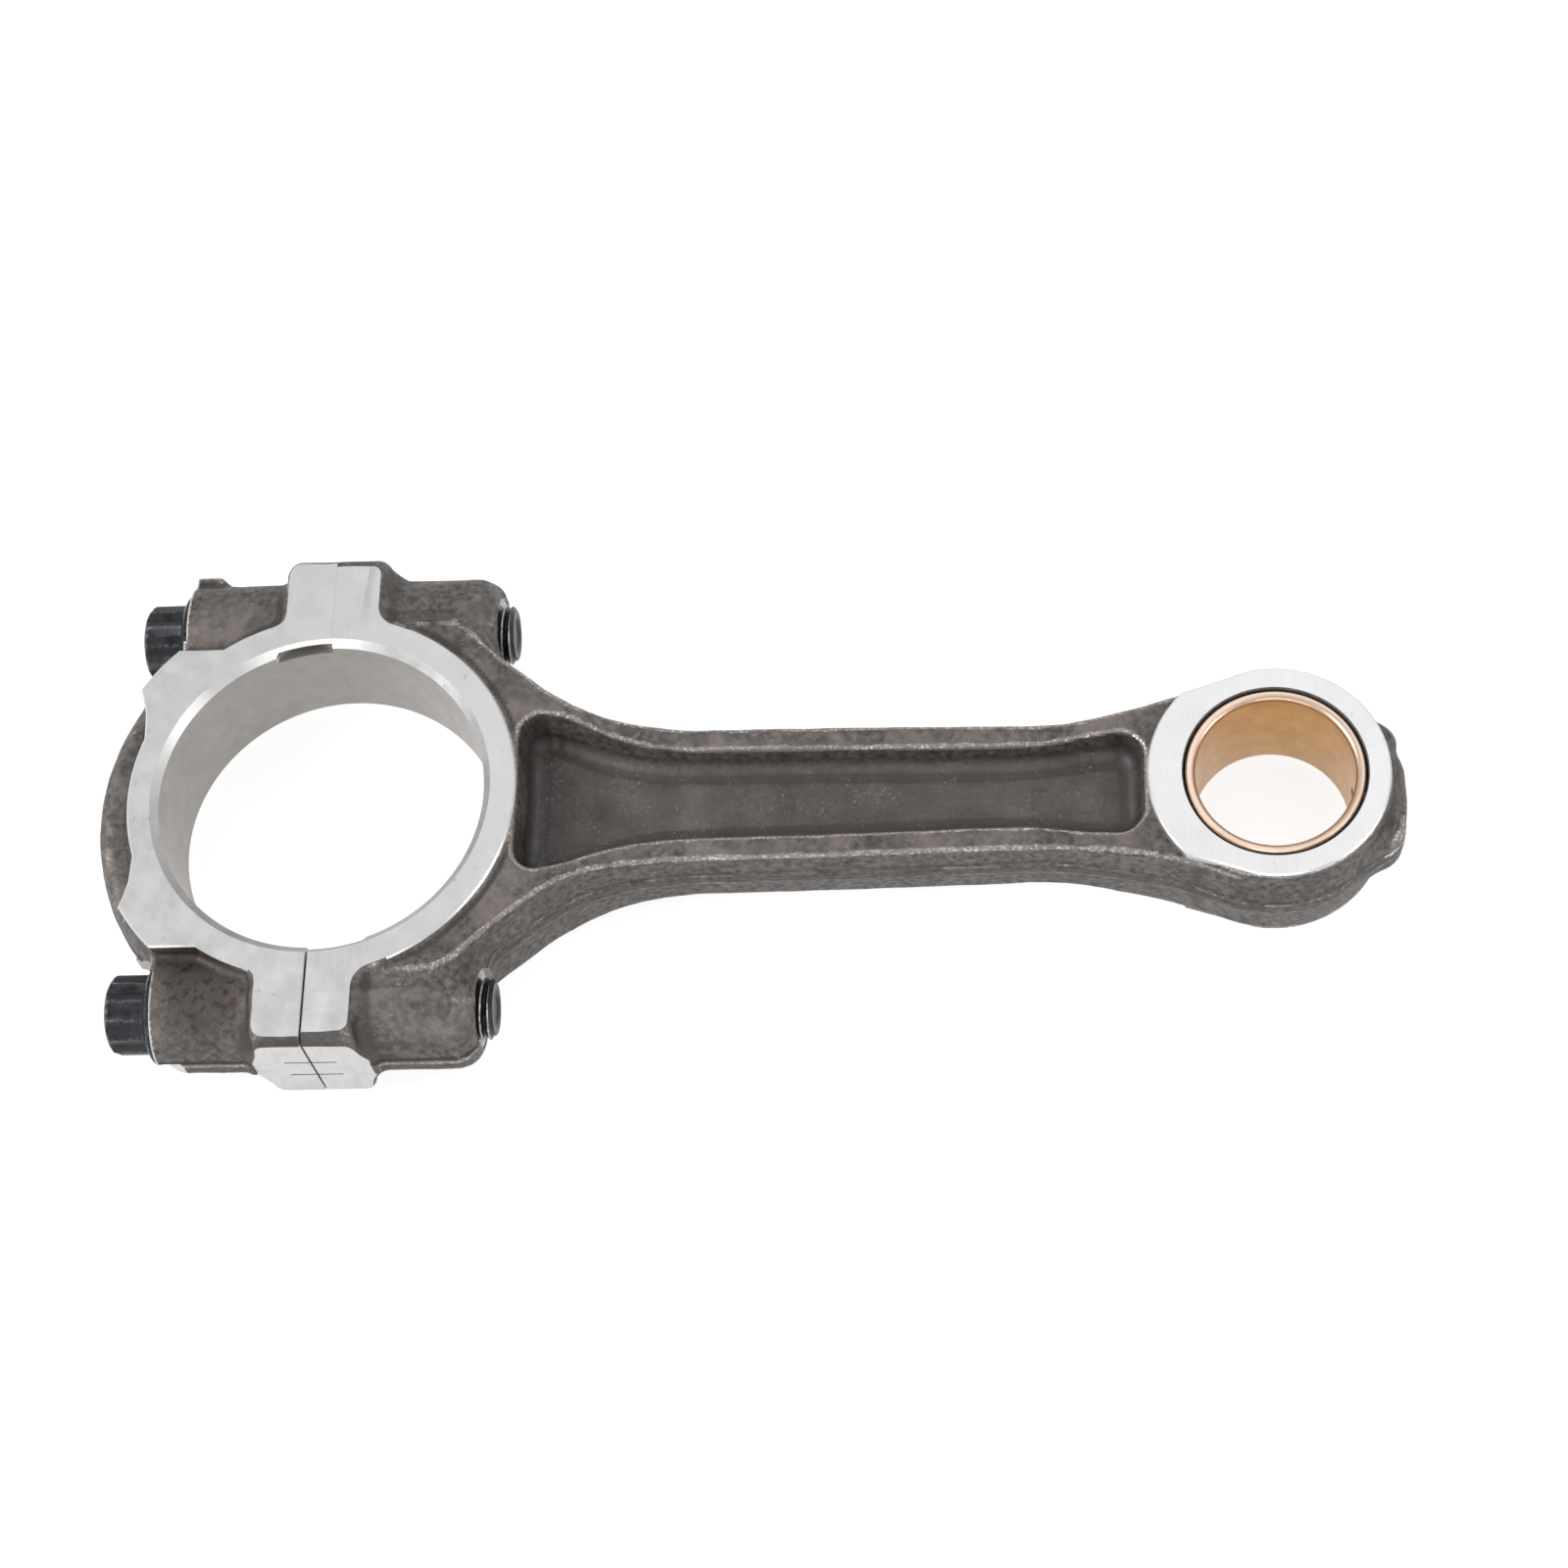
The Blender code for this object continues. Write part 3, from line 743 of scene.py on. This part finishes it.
def make_bolt(name, side):
    """A flange bolt from its tip at +X: thread, fitted shank with a waist, flange and 12-point head."""
    angles = np.arange(BOLT_SIDES) * 2 * math.pi / BOLT_SIDES
    flat = HEAD_R * math.cos(math.pi / 6)
    sixth = math.pi / 3
    hexagons = [flat / np.cos((angles + start) % sixth - sixth / 2) for start in (0, sixth / 2)]
    points = np.maximum(*hexagons)
    rows = []

    def ring(x, radius):
        rows.append((x, np.full(BOLT_SIDES, float(radius))))

    # The dished tip, then the thread's crests and roots, with a chamfer at the tip and a runout
    for x, radius in ((TIP_X - 0.4, 0.7), (TIP_X - 0.4, 2.4), (TIP_X - 0.1, 3.0), (TIP_X, 3.3)):
        ring(x, radius)
    for x in np.arange(TIP_X, THREAD_START_X, -PITCH / 10):
        turn = (x / PITCH + angles / (2 * math.pi)) % 1
        cut = np.interp(turn, [0.06, 0.42, 0.58, 0.94], [0, 1, 1, 0])
        runout = np.clip((x - THREAD_START_X) / 2, 0, 1)
        chamfer = 4.1 + 1.3 * (TIP_X - x)
        rows.append((x, np.minimum(BOLT_R - THREAD_DEPTH * cut * runout, chamfer)))

    # The shank with its waist, the flange and the fillet into the head
    under = SEAT_X - GAP
    flange = under - FLANGE_T
    ring(THREAD_START_X, BOLT_R)
    for x, radius in (
        (WAIST[1], BOLT_R), (WAIST[1] - 0.9, WAIST_R), (WAIST[0] + 0.9, WAIST_R), (WAIST[0], BOLT_R),
        (under + 0.4, BOLT_R), (under, BOLT_R + 0.3), (under, FLANGE_R - 0.25), (under - 0.2, FLANGE_R),
        (under - 0.65, FLANGE_R), (under - 0.9, FLANGE_R - 0.2), (flange + 0.1, HEAD_R + 0.35),
    ):
        ring(x, radius)

    # The 12 points, their domed ends and the dish in the head
    rows.append((flange - 0.05, points + 0.14))
    rows.append((flange - 0.35, points))
    for back, limit in ((1.1, HEAD_R), (0.7, HEAD_R - 0.25), (0.35, HEAD_R - 0.7), (0.08, HEAD_R - 1.15)):
        rows.append((HEAD_END_X + back, np.minimum(points, limit)))
    for back, radius in ((0.0, 5.05), (0.0, 3.9), (0.12, 3.6), (0.75, 3.35), (0.8, 3.1), (0.8, 0.7)):
        ring(HEAD_END_X + back, radius)
    bolt = spun(name, rows, ALONG_X, (0, side * BOLT_Y, 0))
    edge = np.zeros((len(rows), BOLT_SIDES))
    for k, (x, radii) in enumerate(rows):
        if x < flange:
            edge[k] = np.clip((radii - flat) / (HEAD_R - flat), 0, 1) ** 3
        elif x < under:
            edge[k] = FLANGE_WEAR
        elif x > THREAD_START_X:
            edge[k] = np.clip((radii - BOLT_R) / CREST_DEPTH + 1, 0, 1)
    store_edge(bolt, edge.ravel())
    return bolt


def make_bush():
    """The bronze bush, both its bore's ends chamfered and drilled for oil."""
    r, h = BUSH_BORE_R, BUSH_HALF
    end = [(BUSH_R - 0.3, h), (r + 0.75, h), (r + 0.35, h - 0.2), (r + 0.05, h - 0.6), (r, h - 0.8)]
    profile = end + [(radius, -height) for radius, height in reversed(end)]
    profile += [(BUSH_R, 0.3 - h), (BUSH_R, h - 0.3), (BUSH_R - 0.3, h)]
    bush = turned("small_end_bush_turned", profile, 192, (np.eye(3), (CENTRES, 0, 0)))
    oil = rod_of("bush_oil", "X", (CENTRES, 0, 0), OIL_R, BUSH_BORE_R - 3, BUSH_R + 3, 24)
    machine(bush, [oil])
    return bush


def make_dowel(name, side):
    """A ring dowel with all four edges broken."""
    outer, inner, h, c = DOWEL_R, DOWEL_R - 0.65, DOWEL_HALF, 0.18
    profile = [(outer, h - c), (outer - c, h), (inner + c, h), (inner, h - c)]
    profile += [(r, -x) for r, x in reversed(profile)] + [(outer, h - c)]
    return turned(name, profile, 96, (ALONG_X, (0, side * BOLT_Y, 0)))


# --- Surfaces of the forgings ---------------------------------------------------------------------

FORGED, GROUND, MILLED, BORED, GROOVE_AND_SHADE = range(5)  # in the order of the materials in main()


def vectors_of(mesh, kind, key):
    """A list's vectors, such as polygon centres, as an array."""
    items = getattr(mesh, kind)
    flat = np.empty(len(items) * 3)
    items.foreach_get(key, flat)
    return flat.reshape(-1, 3)


def store_edge(made, values):
    """Keeps how convex (above 0) or hollow (below 0) the surface is, for its material's wear on edges and,
    on the forgings, painted shade in hollows.
    """
    attribute = made.data.attributes.new("edge", "FLOAT", "POINT")
    attribute.data.foreach_set("value", np.asarray(values, np.float32))


def bend_of(field, points, reach=0.6):
    """How sharply a field's surface bends at points, in 1/mm: above 0 at a convex edge."""
    total = -6 * field(*points.T)
    for step in reach * np.concatenate([np.eye(3), -np.eye(3)]):
        total = total + field(*(points + step).T)
    return total / reach**2


def give_finishes(made, field, materials):
    """Gives each face of a machined forging its finish, and stores how much its skin bends."""
    mesh = made.data
    centre = vectors_of(mesh, "polygons", "center") / MM - CENTRE
    normal = vectors_of(mesh, "polygons", "normal")
    value, slope = slope_of(field, centre)
    slope /= np.maximum(np.linalg.norm(slope, axis=1, keepdims=True), 1e-6)
    forged = (np.abs(value) < SKIN_DEPTH) & ((normal * slope).sum(1) > 0.7)
    x, y, z = centre.T
    height = np.abs(z)
    level = np.abs(normal[:, 2])
    to_axis = np.hypot(x, y)
    kind = np.full(len(centre), MILLED)
    kind[height > SMALL_HALF - FACE_STEP - 0.3] = GROUND
    kind[(to_axis < BORE_R + 0.1) & (level < 0.3)] = BORED
    kind[forged & (to_axis > BORE_R + 1)] = FORGED

    # The dark gap round the bush, with its seat's chamfer
    in_bush_seat = np.hypot(x - CENTRES, y) < BUSH_R + GAP + 0.25
    kind[in_bush_seat & (level < 0.9)] = GROOVE_AND_SHADE

    # The tang slots: a wall like the bore's, and painted shade along the undercut at the top
    to_slot = np.minimum(np.hypot(x + TANG_X, y - TANG_Y), np.hypot(x - TANG_X, y + TANG_Y))
    in_slot = (to_slot < TANG_R + 2 * TANG_UNDERCUT) & (to_axis > BORE_R + 0.15)
    in_slot &= (z > TANG_Z[0] - 0.01) & (z < TANG_Z[2] + 0.01)
    kind[in_slot] = BORED
    # Painted shade: the undercut band at each slot's top gets the dark groove colour
    kind[in_slot & (z > TANG_Z[1])] = GROOVE_AND_SHADE

    # Flash and boss sides trimmed further out than the pads, and the witness lines
    kind[np.abs(y) > PAD_SIDE_Y + 0.1] = FORGED
    in_mark = (np.abs(height - MARK_Z) < MARK_HALF + 0.02) & (np.abs(x) < MARK_REACH + 0.1)
    kind[in_mark & (y > 0.01 - PAD_SIDE_Y) & (y < 0.5 - PAD_SIDE_Y)] = GROOVE_AND_SHADE
    mesh.materials.clear()
    for material in materials:
        mesh.materials.append(material)
    mesh.polygons.foreach_set("material_index", kind.astype(np.int32))
    vertices = vectors_of(mesh, "vertices", "co") / MM - CENTRE
    store_edge(made, np.clip(bend_of(field, vertices), -1, 1))


def give_finish(made, material):
    """Gives a whole piece one finish."""
    made.data.materials.clear()
    made.data.materials.append(material)
    made.data.polygons.foreach_set("material_index", np.zeros(len(made.data.polygons), np.int32))


def shade(made, angle):
    """Smooth shading with creases at edges sharper than angle, in degrees."""
    made.data.shade_smooth()
    made.data.set_sharp_from_angle(angle=math.radians(angle))


# --- Materials ------------------------------------------------------------------------------------


class Finish:
    """A material's node graph. Places are in millimetres."""

    def __init__(self, name, metallic, roughness, colour=(0.5, 0.5, 0.5)):
        self.material = bpy.data.materials.new(name)
        self.material.use_nodes = True
        self.tree = self.material.node_tree
        self.shader = self.tree.nodes["Principled BSDF"]
        self.shader.inputs["Base Color"].default_value = (*colour, 1)
        self.shader.inputs["Metallic"].default_value = metallic
        self.shader.inputs["Roughness"].default_value = roughness
        self.place = self.scaled(self.node("ShaderNodeTexCoord").outputs["Object"], (1 / MM,) * 3)
        self.normal = None

    def node(self, kind, inputs=None, **settings):
        made = self.tree.nodes.new(kind)
        for key, value in settings.items():
            setattr(made, key, value)
        for key, value in (inputs or {}).items():
            if isinstance(value, bpy.types.NodeSocket):
                self.tree.links.new(value, made.inputs[key])
            else:
                made.inputs[key].default_value = value
        return made

    def scaled(self, vector, scale):
        return self.node("ShaderNodeMapping", {"Vector": vector, "Scale": scale}).outputs["Vector"]

    def noise(self, size, detail, stretch=None):
        """Noise with features of about size mm, drawn out by stretch along each axis."""
        place = self.place if stretch is None else self.scaled(self.place, [1 / k for k in stretch])
        inputs = {"Vector": place, "Scale": 1 / size, "Detail": detail, "Roughness": 0.55}
        return self.node("ShaderNodeTexNoise", inputs).outputs["Fac"]

    def ramp(self, value, low, high, to_low=0.0, to_high=1.0):
        inputs = {"Value": value, "From Min": low, "From Max": high, "To Min": to_low, "To Max": to_high}
        return self.node("ShaderNodeMapRange", inputs, clamp=True).outputs["Result"]

    def maths(self, operation, a, b):
        return self.node("ShaderNodeMath", {0: a, 1: b}, operation=operation).outputs[0]

    def times(self, a, b):
        return self.maths("MULTIPLY", a, b)

    def away(self, value, middle):
        """How far a value is from middle, either way."""
        return self.maths("ABSOLUTE", self.maths("SUBTRACT", value, middle), 0.0)

    def parts_of(self, vector):
        return self.node("ShaderNodeSeparateXYZ", {0: vector}).outputs

    def upright(self):
        """1 on a face that looks straight up or down, 0 on a wall."""
        normal = self.node("ShaderNodeNewGeometry").outputs["True Normal"]
        return self.maths("ABSOLUTE", self.parts_of(normal)["Z"], 0.0)

    def mix(self, factor, a, b):
        """Colour a where factor is 0 and b where it is 1."""
        inputs = {0: factor}
        for key, colour in ((6, a), (7, b)):
            inputs[key] = colour if isinstance(colour, bpy.types.NodeSocket) else (*colour, 1)
        return self.node("ShaderNodeMix", inputs, data_type="RGBA").outputs[2]

    def edge(self):
        """The stored bend or wear of the surface."""
        return self.node("ShaderNodeAttribute", attribute_name="edge").outputs["Fac"]

    def bump(self, height, distance, strength=1.0):
        inputs = {"Height": height, "Distance": distance * MM, "Strength": strength}
        if self.normal is not None:
            inputs["Normal"] = self.normal
        self.normal = self.node("ShaderNodeBump", inputs).outputs["Normal"]

    def done(self, colour=None, roughness=None):
        for key, socket in (("Base Color", colour), ("Roughness", roughness), ("Normal", self.normal)):
            if socket is not None:
                self.tree.links.new(socket, self.shader.inputs[key])
        return self.material


def forged_skin():
    """Dark scale with bright specks on knocked edges, bare metal at the bolt seats and rust stains, plus
    painted light on upward faces and on the web and painted shade in hollows.
    """
    f = Finish("forged_scale", 0.35, 0.55)
    grain = f.noise(1.1, 4)
    patch = f.noise(9, 3)
    edge = f.edge()
    upward = f.ramp(f.upright(), 0.35, 0.85)
    at = f.parts_of(f.place)
    colour = f.mix(f.ramp(grain, 0.32, 0.68), (0.027, 0.024, 0.022), (0.118, 0.104, 0.095))
    # Pale blotches of the scale's own uneven tone, shown only on faces that look up: partly painted light on
    # the tops
    pale = f.times(f.ramp(patch, 0.4, 0.65, 0, 0.75), upward)
    colour = f.mix(pale, colour, (0.15, 0.127, 0.115))
    colour = f.mix(f.ramp(f.noise(5, 4), 0.46, 0.3, 0, 0.6), colour, (0.032, 0.029, 0.027))
    # Painted light: the web's upward faces near mid-height are made paler, as if lit more brightly
    web = f.times(f.ramp(f.away(at["Z"], MID_Z), WEB_HALF + 1.6, WEB_HALF + 0.6), upward)
    colour = f.mix(f.times(web, 0.45), colour, (0.17, 0.158, 0.15))
    # Painted shade: hollows, where the stored bend is below 0, are darkened as if in shadow
    colour = f.mix(f.ramp(edge, -0.05, -0.45, 0, 0.85), colour, (0.026, 0.023, 0.021))

    # The parting line
    ragged = f.noise(0.45, 3)
    from_parting = f.maths("ADD", f.away(at["Z"], MID_Z - 0.6), ragged)
    parting = f.times(f.ramp(from_parting, 0.95, 0.6), f.ramp(upward, 0.5, 0.0))
    colour = f.mix(f.times(parting, 0.4), colour, (0.03, 0.027, 0.025))

    # Knocked edges and stray specks, fewer on the dark rounded strip between a pad's faces
    speck = f.ramp(f.noise(0.5, 2), 0.5, 0.62)
    uneven = f.ramp(f.noise(3.0, 3), 0.35, 0.7, -0.3, 0.25)
    knocked = f.ramp(f.maths("ADD", edge, uneven), 0.36, 0.75)
    bare = f.times(knocked, f.ramp(speck, 0, 1, 0.25, 0.85))
    out_to = f.maths("ADD", f.away(at["Y"], 0.0), f.ramp(f.noise(1.2, 3), 0.3, 0.7, -0.6, 0.6))
    on_pad = f.ramp(f.away(at["X"], BIG_X), 11.5, 10.5)
    strip = f.times(f.ramp(out_to, PAD_SIDE_Y - 4.4, PAD_SIDE_Y - 3.6), on_pad)
    bare = f.times(bare, f.ramp(strip, 0.0, 1.0, 1.0, 0.35))
    colour = f.mix(f.times(strip, 0.75), colour, (0.04, 0.036, 0.033))
    colour = f.mix(bare, colour, (0.47, 0.43, 0.4))
    # Pale specks, shown only on faces that look up: partly stray wear, partly painted glints of the light
    # from above
    stray = f.times(f.ramp(f.noise(0.5, 2), 0.6, 0.7), f.ramp(f.noise(5, 2), 0.47, 0.62))
    colour = f.mix(f.times(f.times(stray, upward), 0.28), colour, (0.4, 0.35, 0.32))

    # Bare metal along the edges of the bolt seats
    from_seat = f.maths("ADD", f.away(at["X"], BIG_X + SEAT_X), f.ramp(ragged, 0.3, 0.7, 0, 0.35))
    on_boss = f.ramp(f.away(at["Y"], 0.0), 29, 30)
    colour = f.mix(f.times(f.ramp(from_seat, 0.55, 0.3, 0, 0.9), on_boss), colour, (0.55, 0.52, 0.5))

    # Old oil and rust on the near cap boss
    stain_place = Vector(CENTRE) + Vector((-17.0, -32.0, 9.0))
    distance = f.node("ShaderNodeVectorMath", {0: f.place, 1: stain_place}, operation="DISTANCE")
    near_stain = f.ramp(distance.outputs["Value"], 10.5, 4.5)
    colour = f.mix(f.times(near_stain, 0.84), colour, (0.03, 0.026, 0.02))
    rust = f.times(near_stain, f.ramp(f.noise(1.3, 3), 0.53, 0.58))
    colour = f.mix(f.times(rust, 0.92), colour, (0.024, 0.007, 0.005))
    f.bump(f.noise(0.6, 3), 0.1, 0.6)
    f.bump(f.noise(2.6, 2), 0.3, 0.35)
    f.tree.links.new(f.ramp(bare, 0, 1, 0.3, 0.95), f.shader.inputs["Metallic"])
    roughness = f.maths("SUBTRACT", f.ramp(grain, 0.3, 0.7, 0.6, 0.48), f.ramp(bare, 0, 1, 0, 0.2))
    return f.done(colour, roughness)


def ground_face():
    """A surface-ground face: pale, faintly mottled, with fine parallel lines."""
    f = Finish("ground_face", 0.9, 0.3)
    lines = f.noise(0.16, 2, (1, 40, 1))
    cross = f.noise(0.3, 2, (24, 1, 1))
    cloud = f.noise(6, 3)
    colour = f.mix(f.ramp(cloud, 0.3, 0.7), (0.53, 0.53, 0.535), (0.585, 0.58, 0.583))
    colour = f.mix(f.ramp(lines, 0.3, 0.7, 0, 0.3), colour, (0.68, 0.675, 0.68))
    dirt = f.times(f.ramp(f.noise(1.1, 3), 0.63, 0.72), f.ramp(f.noise(9, 2), 0.48, 0.62))
    colour = f.mix(f.times(dirt, 0.4), colour, (0.26, 0.24, 0.23))
    f.bump(lines, 0.012, 0.5)
    f.bump(cross, 0.01, 0.3)
    return f.done(colour, f.ramp(f.noise(3, 3), 0.3, 0.7, 0.32, 0.42))


def milled_face():
    """A milled face: grey with broad tool marks and a little grime."""
    f = Finish("milled_face", 0.9, 0.35)
    marks = f.noise(0.35, 2, (1, 1, 30))
    colour = f.mix(f.ramp(marks, 0.3, 0.7), (0.52, 0.51, 0.5), (0.58, 0.57, 0.56))
    grime = f.ramp(f.noise(2.2, 3), 0.55, 0.75, 0, 0.4)
    colour = f.mix(grime, colour, (0.36, 0.34, 0.32))
    f.bump(marks, 0.02, 0.5)
    return f.done(colour, f.ramp(f.noise(1.5, 2), 0.3, 0.7, 0.34, 0.5))


def bored_face():
    """The honed housing bore: an even grey with faint rings, darker than the ground faces as painted shade
    for the dark surroundings that the bore reflects.
    """
    f = Finish("honed_bore", 0.85, 0.42)
    rings = f.noise(0.14, 2, (30, 30, 1))
    cloud = f.noise(6, 3)
    # Painted shade: the base grey is darkened to stand in for the darker reflections inside the bore
    colour = f.mix(f.ramp(cloud, 0.3, 0.7), (0.3, 0.28, 0.262), (0.335, 0.315, 0.295))
    colour = f.mix(f.ramp(rings, 0.35, 0.7, 0, 0.25), colour, (0.42, 0.4, 0.38))
    f.bump(rings, 0.012, 0.5)
    return f.done(colour, f.ramp(f.noise(2.5, 2), 0.3, 0.7, 0.38, 0.5))


def groove_and_painted_shade():
    """The floor of an engraved line or a narrow gap, dark with old oil; also painted shade along the top of
    the tang slots.
    """
    f = Finish("groove_and_painted_shade", 0.2, 0.7)
    colour = f.mix(f.ramp(f.noise(0.5, 2), 0.35, 0.65), (0.05, 0.047, 0.043), (0.11, 0.1, 0.095))
    return f.done(colour)


def black_oxide():
    """Oiled black oxide, worn on the head's corners and more so on the thread's crests."""
    f = Finish("black_oxide_bolt", 0.55, 0.36)
    cloud = f.noise(1.6, 3)
    colour = f.mix(f.ramp(cloud, 0.35, 0.68), (0.009, 0.01, 0.012), (0.022, 0.025, 0.029))
    worn = f.times(f.ramp(f.edge(), 0.35, 1.0), f.ramp(f.noise(0.5, 3), 0.45, 0.62))
    colour = f.mix(f.times(worn, 0.6), colour, (0.13, 0.135, 0.14))
    on_thread = f.ramp(f.parts_of(f.place)["X"], BIG_X, BIG_X + 1)
    crest = f.times(f.ramp(f.edge(), 0.15, 0.7), on_thread)
    crest = f.times(crest, f.ramp(f.noise(0.7, 2), 0.35, 0.55, 0.3, 0.9))
    colour = f.mix(crest, colour, (0.5, 0.49, 0.48))
    f.bump(f.noise(0.22, 2), 0.02, 0.5)
    return f.done(colour, f.ramp(cloud, 0.3, 0.7, 0.28, 0.46))


def bush_bronze():
    """Fine-bored bronze with rings along the bore and paler, faced ends."""
    f = Finish("fine_bored_bronze", 0.9, 0.3)
    rings = f.noise(0.12, 2, (40, 40, 1))
    cloud = f.noise(3.5, 3)
    colour = f.mix(f.ramp(cloud, 0.35, 0.65), (0.46, 0.245, 0.085), (0.53, 0.3, 0.115))
    colour = f.mix(f.ramp(f.upright(), 0.3, 0.9, 0, 0.9), colour, (0.62, 0.49, 0.41))
    f.bump(rings, 0.01, 0.5)
    return f.done(colour, f.ramp(rings, 0.3, 0.7, 0.26, 0.4))


def dowel_steel():
    """Ground dowel steel with fine lines round it."""
    f = Finish("ground_dowel", 1.0, 0.25)
    rings = f.noise(0.12, 2, (1, 40, 40))
    colour = f.mix(f.ramp(rings, 0.3, 0.7), (0.46, 0.46, 0.46), (0.6, 0.6, 0.6))
    f.bump(rings, 0.008, 0.4)
    return f.done(colour, f.ramp(f.noise(1.2, 2), 0.3, 0.7, 0.2, 0.34))


TABLE_GLOW = 0.85


def light_table():
    """A white sheet lit from below, faintly uneven."""
    f = Finish("light_table", 0.0, 0.9, (0.25, 0.25, 0.25))
    f.shader.inputs["Emission Strength"].default_value = TABLE_GLOW
    glow = f.mix(f.ramp(f.noise(30, 2), 0.4, 0.6), (0.985, 0.985, 0.985), (1.0, 1.0, 1.0))
    f.tree.links.new(glow, f.shader.inputs["Emission Color"])
    return f.done()


# --- Camera, light and floor ----------------------------------------------------------------------


CAMERA_ANGLES = (11.97, 64.07, -12.19)  # azimuth from -Y, elevation and roll, in degrees
CAMERA_TARGET = (0.485, 0.031)  # from the big end's centre, as fractions of the centre distance
CAMERA_AWAY = 3.689  # distance to the target, in centre distances
CAMERA_LENS = 79.58
WORLD_STRENGTH = 0.62


def make_camera():
    """A camera high above the near side, rolled a little, with the big end on the left."""
    azimuth, elevation, roll = (math.radians(angle) for angle in CAMERA_ANGLES)
    level = math.cos(elevation)
    back = Vector((math.sin(azimuth) * level, -math.cos(azimuth) * level, math.sin(elevation)))
    right = Vector((math.cos(azimuth), math.sin(azimuth), 0))
    up = right.cross(-back)
    c, s = math.cos(roll), math.sin(roll)
    axes = Matrix((c * right + s * up, -s * right + c * up, back)).transposed()
    target = Vector(CENTRE * MM) + Vector((*CAMERA_TARGET, 0)) * CENTRES * MM
    data = bpy.data.cameras.new("camera")
    data.sensor_width = 36
    data.lens = CAMERA_LENS
    camera = bpy.data.objects.new("camera", data)
    camera.matrix_world = Matrix.Translation(target + back * CAMERA_AWAY * CENTRES * MM) @ axes.to_4x4()
    bpy.context.scene.collection.objects.link(camera)
    bpy.context.scene.camera = camera


def area_light(name, place, target, size, power):
    """A white rectangle of light, in metres and watts."""
    data = bpy.data.lights.new(name, "AREA")
    data.shape = "RECTANGLE"
    data.size, data.size_y = size
    data.energy = power
    made = bpy.data.objects.new(name, data)
    made.location = place
    made.rotation_mode = "QUATERNION"
    made.rotation_quaternion = (Vector(target) - Vector(place)).to_track_quat("-Z", "Y")
    bpy.context.scene.collection.objects.link(made)


def make_set():
    """The light table, the white surroundings and the lamps."""
    bpy.ops.mesh.primitive_plane_add(size=3, location=(0, 0, CAD_BOX[0].z))
    floor = bpy.context.object
    floor.name = "floor"
    floor.data.materials.append(light_table())
    world = bpy.data.worlds.new("world")
    world.use_nodes = True
    background = world.node_tree.nodes["Background"]
    background.inputs["Color"].default_value = (1, 1, 1, 1)
    background.inputs["Strength"].default_value = WORLD_STRENGTH
    bpy.context.scene.world = world
    area_light("overhead", (0.41, 0.45, 0.9), (0.0, 0.1, 0), (1.3, 1.1), 4.9)
    area_light("key", (-0.78, -0.1, 0.62), (0, 0, 0), (0.4, 0.4), 8)
    area_light("window", (0.7, -0.22, 0.25), (-0.05, 0, 0), (0.35, 0.2), 1.6)
    area_light("front_strip", (-0.05, -0.8, 0.4), (0, 0, 0), (0.9, 0.1), 2.5)
    bpy.context.scene.view_settings.view_transform = "Standard"


def place(made, body, node, slot):
    """Puts a piece on its body, for its CAD node, which it hides; slot is not used."""
    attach(made, body)
    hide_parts(node)


def main():
    """Makes every piece, rests it on its body and gives it its looks, then sets the scene."""
    finishes = [forged_skin(), ground_face(), milled_face(), bored_face(), groove_and_painted_shade()]
    for make, field, body, node in (
        (make_rod, rod_field, "rod", "rod_forging"),
        (make_cap, cap_field, "cap", "bearing_cap"),
    ):
        made = make()
        give_finishes(made, field, finishes)
        shade(made, 28)
        place(made, body, node, "forged_steel")

    black = black_oxide()
    dowel_finish = dowel_steel()
    for where, side in (("far", 1), ("near", -1)):
        bolt = make_bolt(f"flange_bolt_{where}", side)
        give_finish(bolt, black)
        shade(bolt, 24)
        place(bolt, f"{where}_bolt", f"bolt_{where}", "black_oxide")
        dowel = make_dowel(f"dowel_{where}", side)
        give_finish(dowel, dowel_finish)
        shade(dowel, 30)
        place(dowel, "rod", f"ring_dowel_{where}", "dowel_steel")

    bush = make_bush()
    give_finish(bush, bush_bronze())
    shade(bush, 30)
    place(bush, "rod", "small_end_bush", "bush_bronze")

    make_set()
    make_camera()


main()
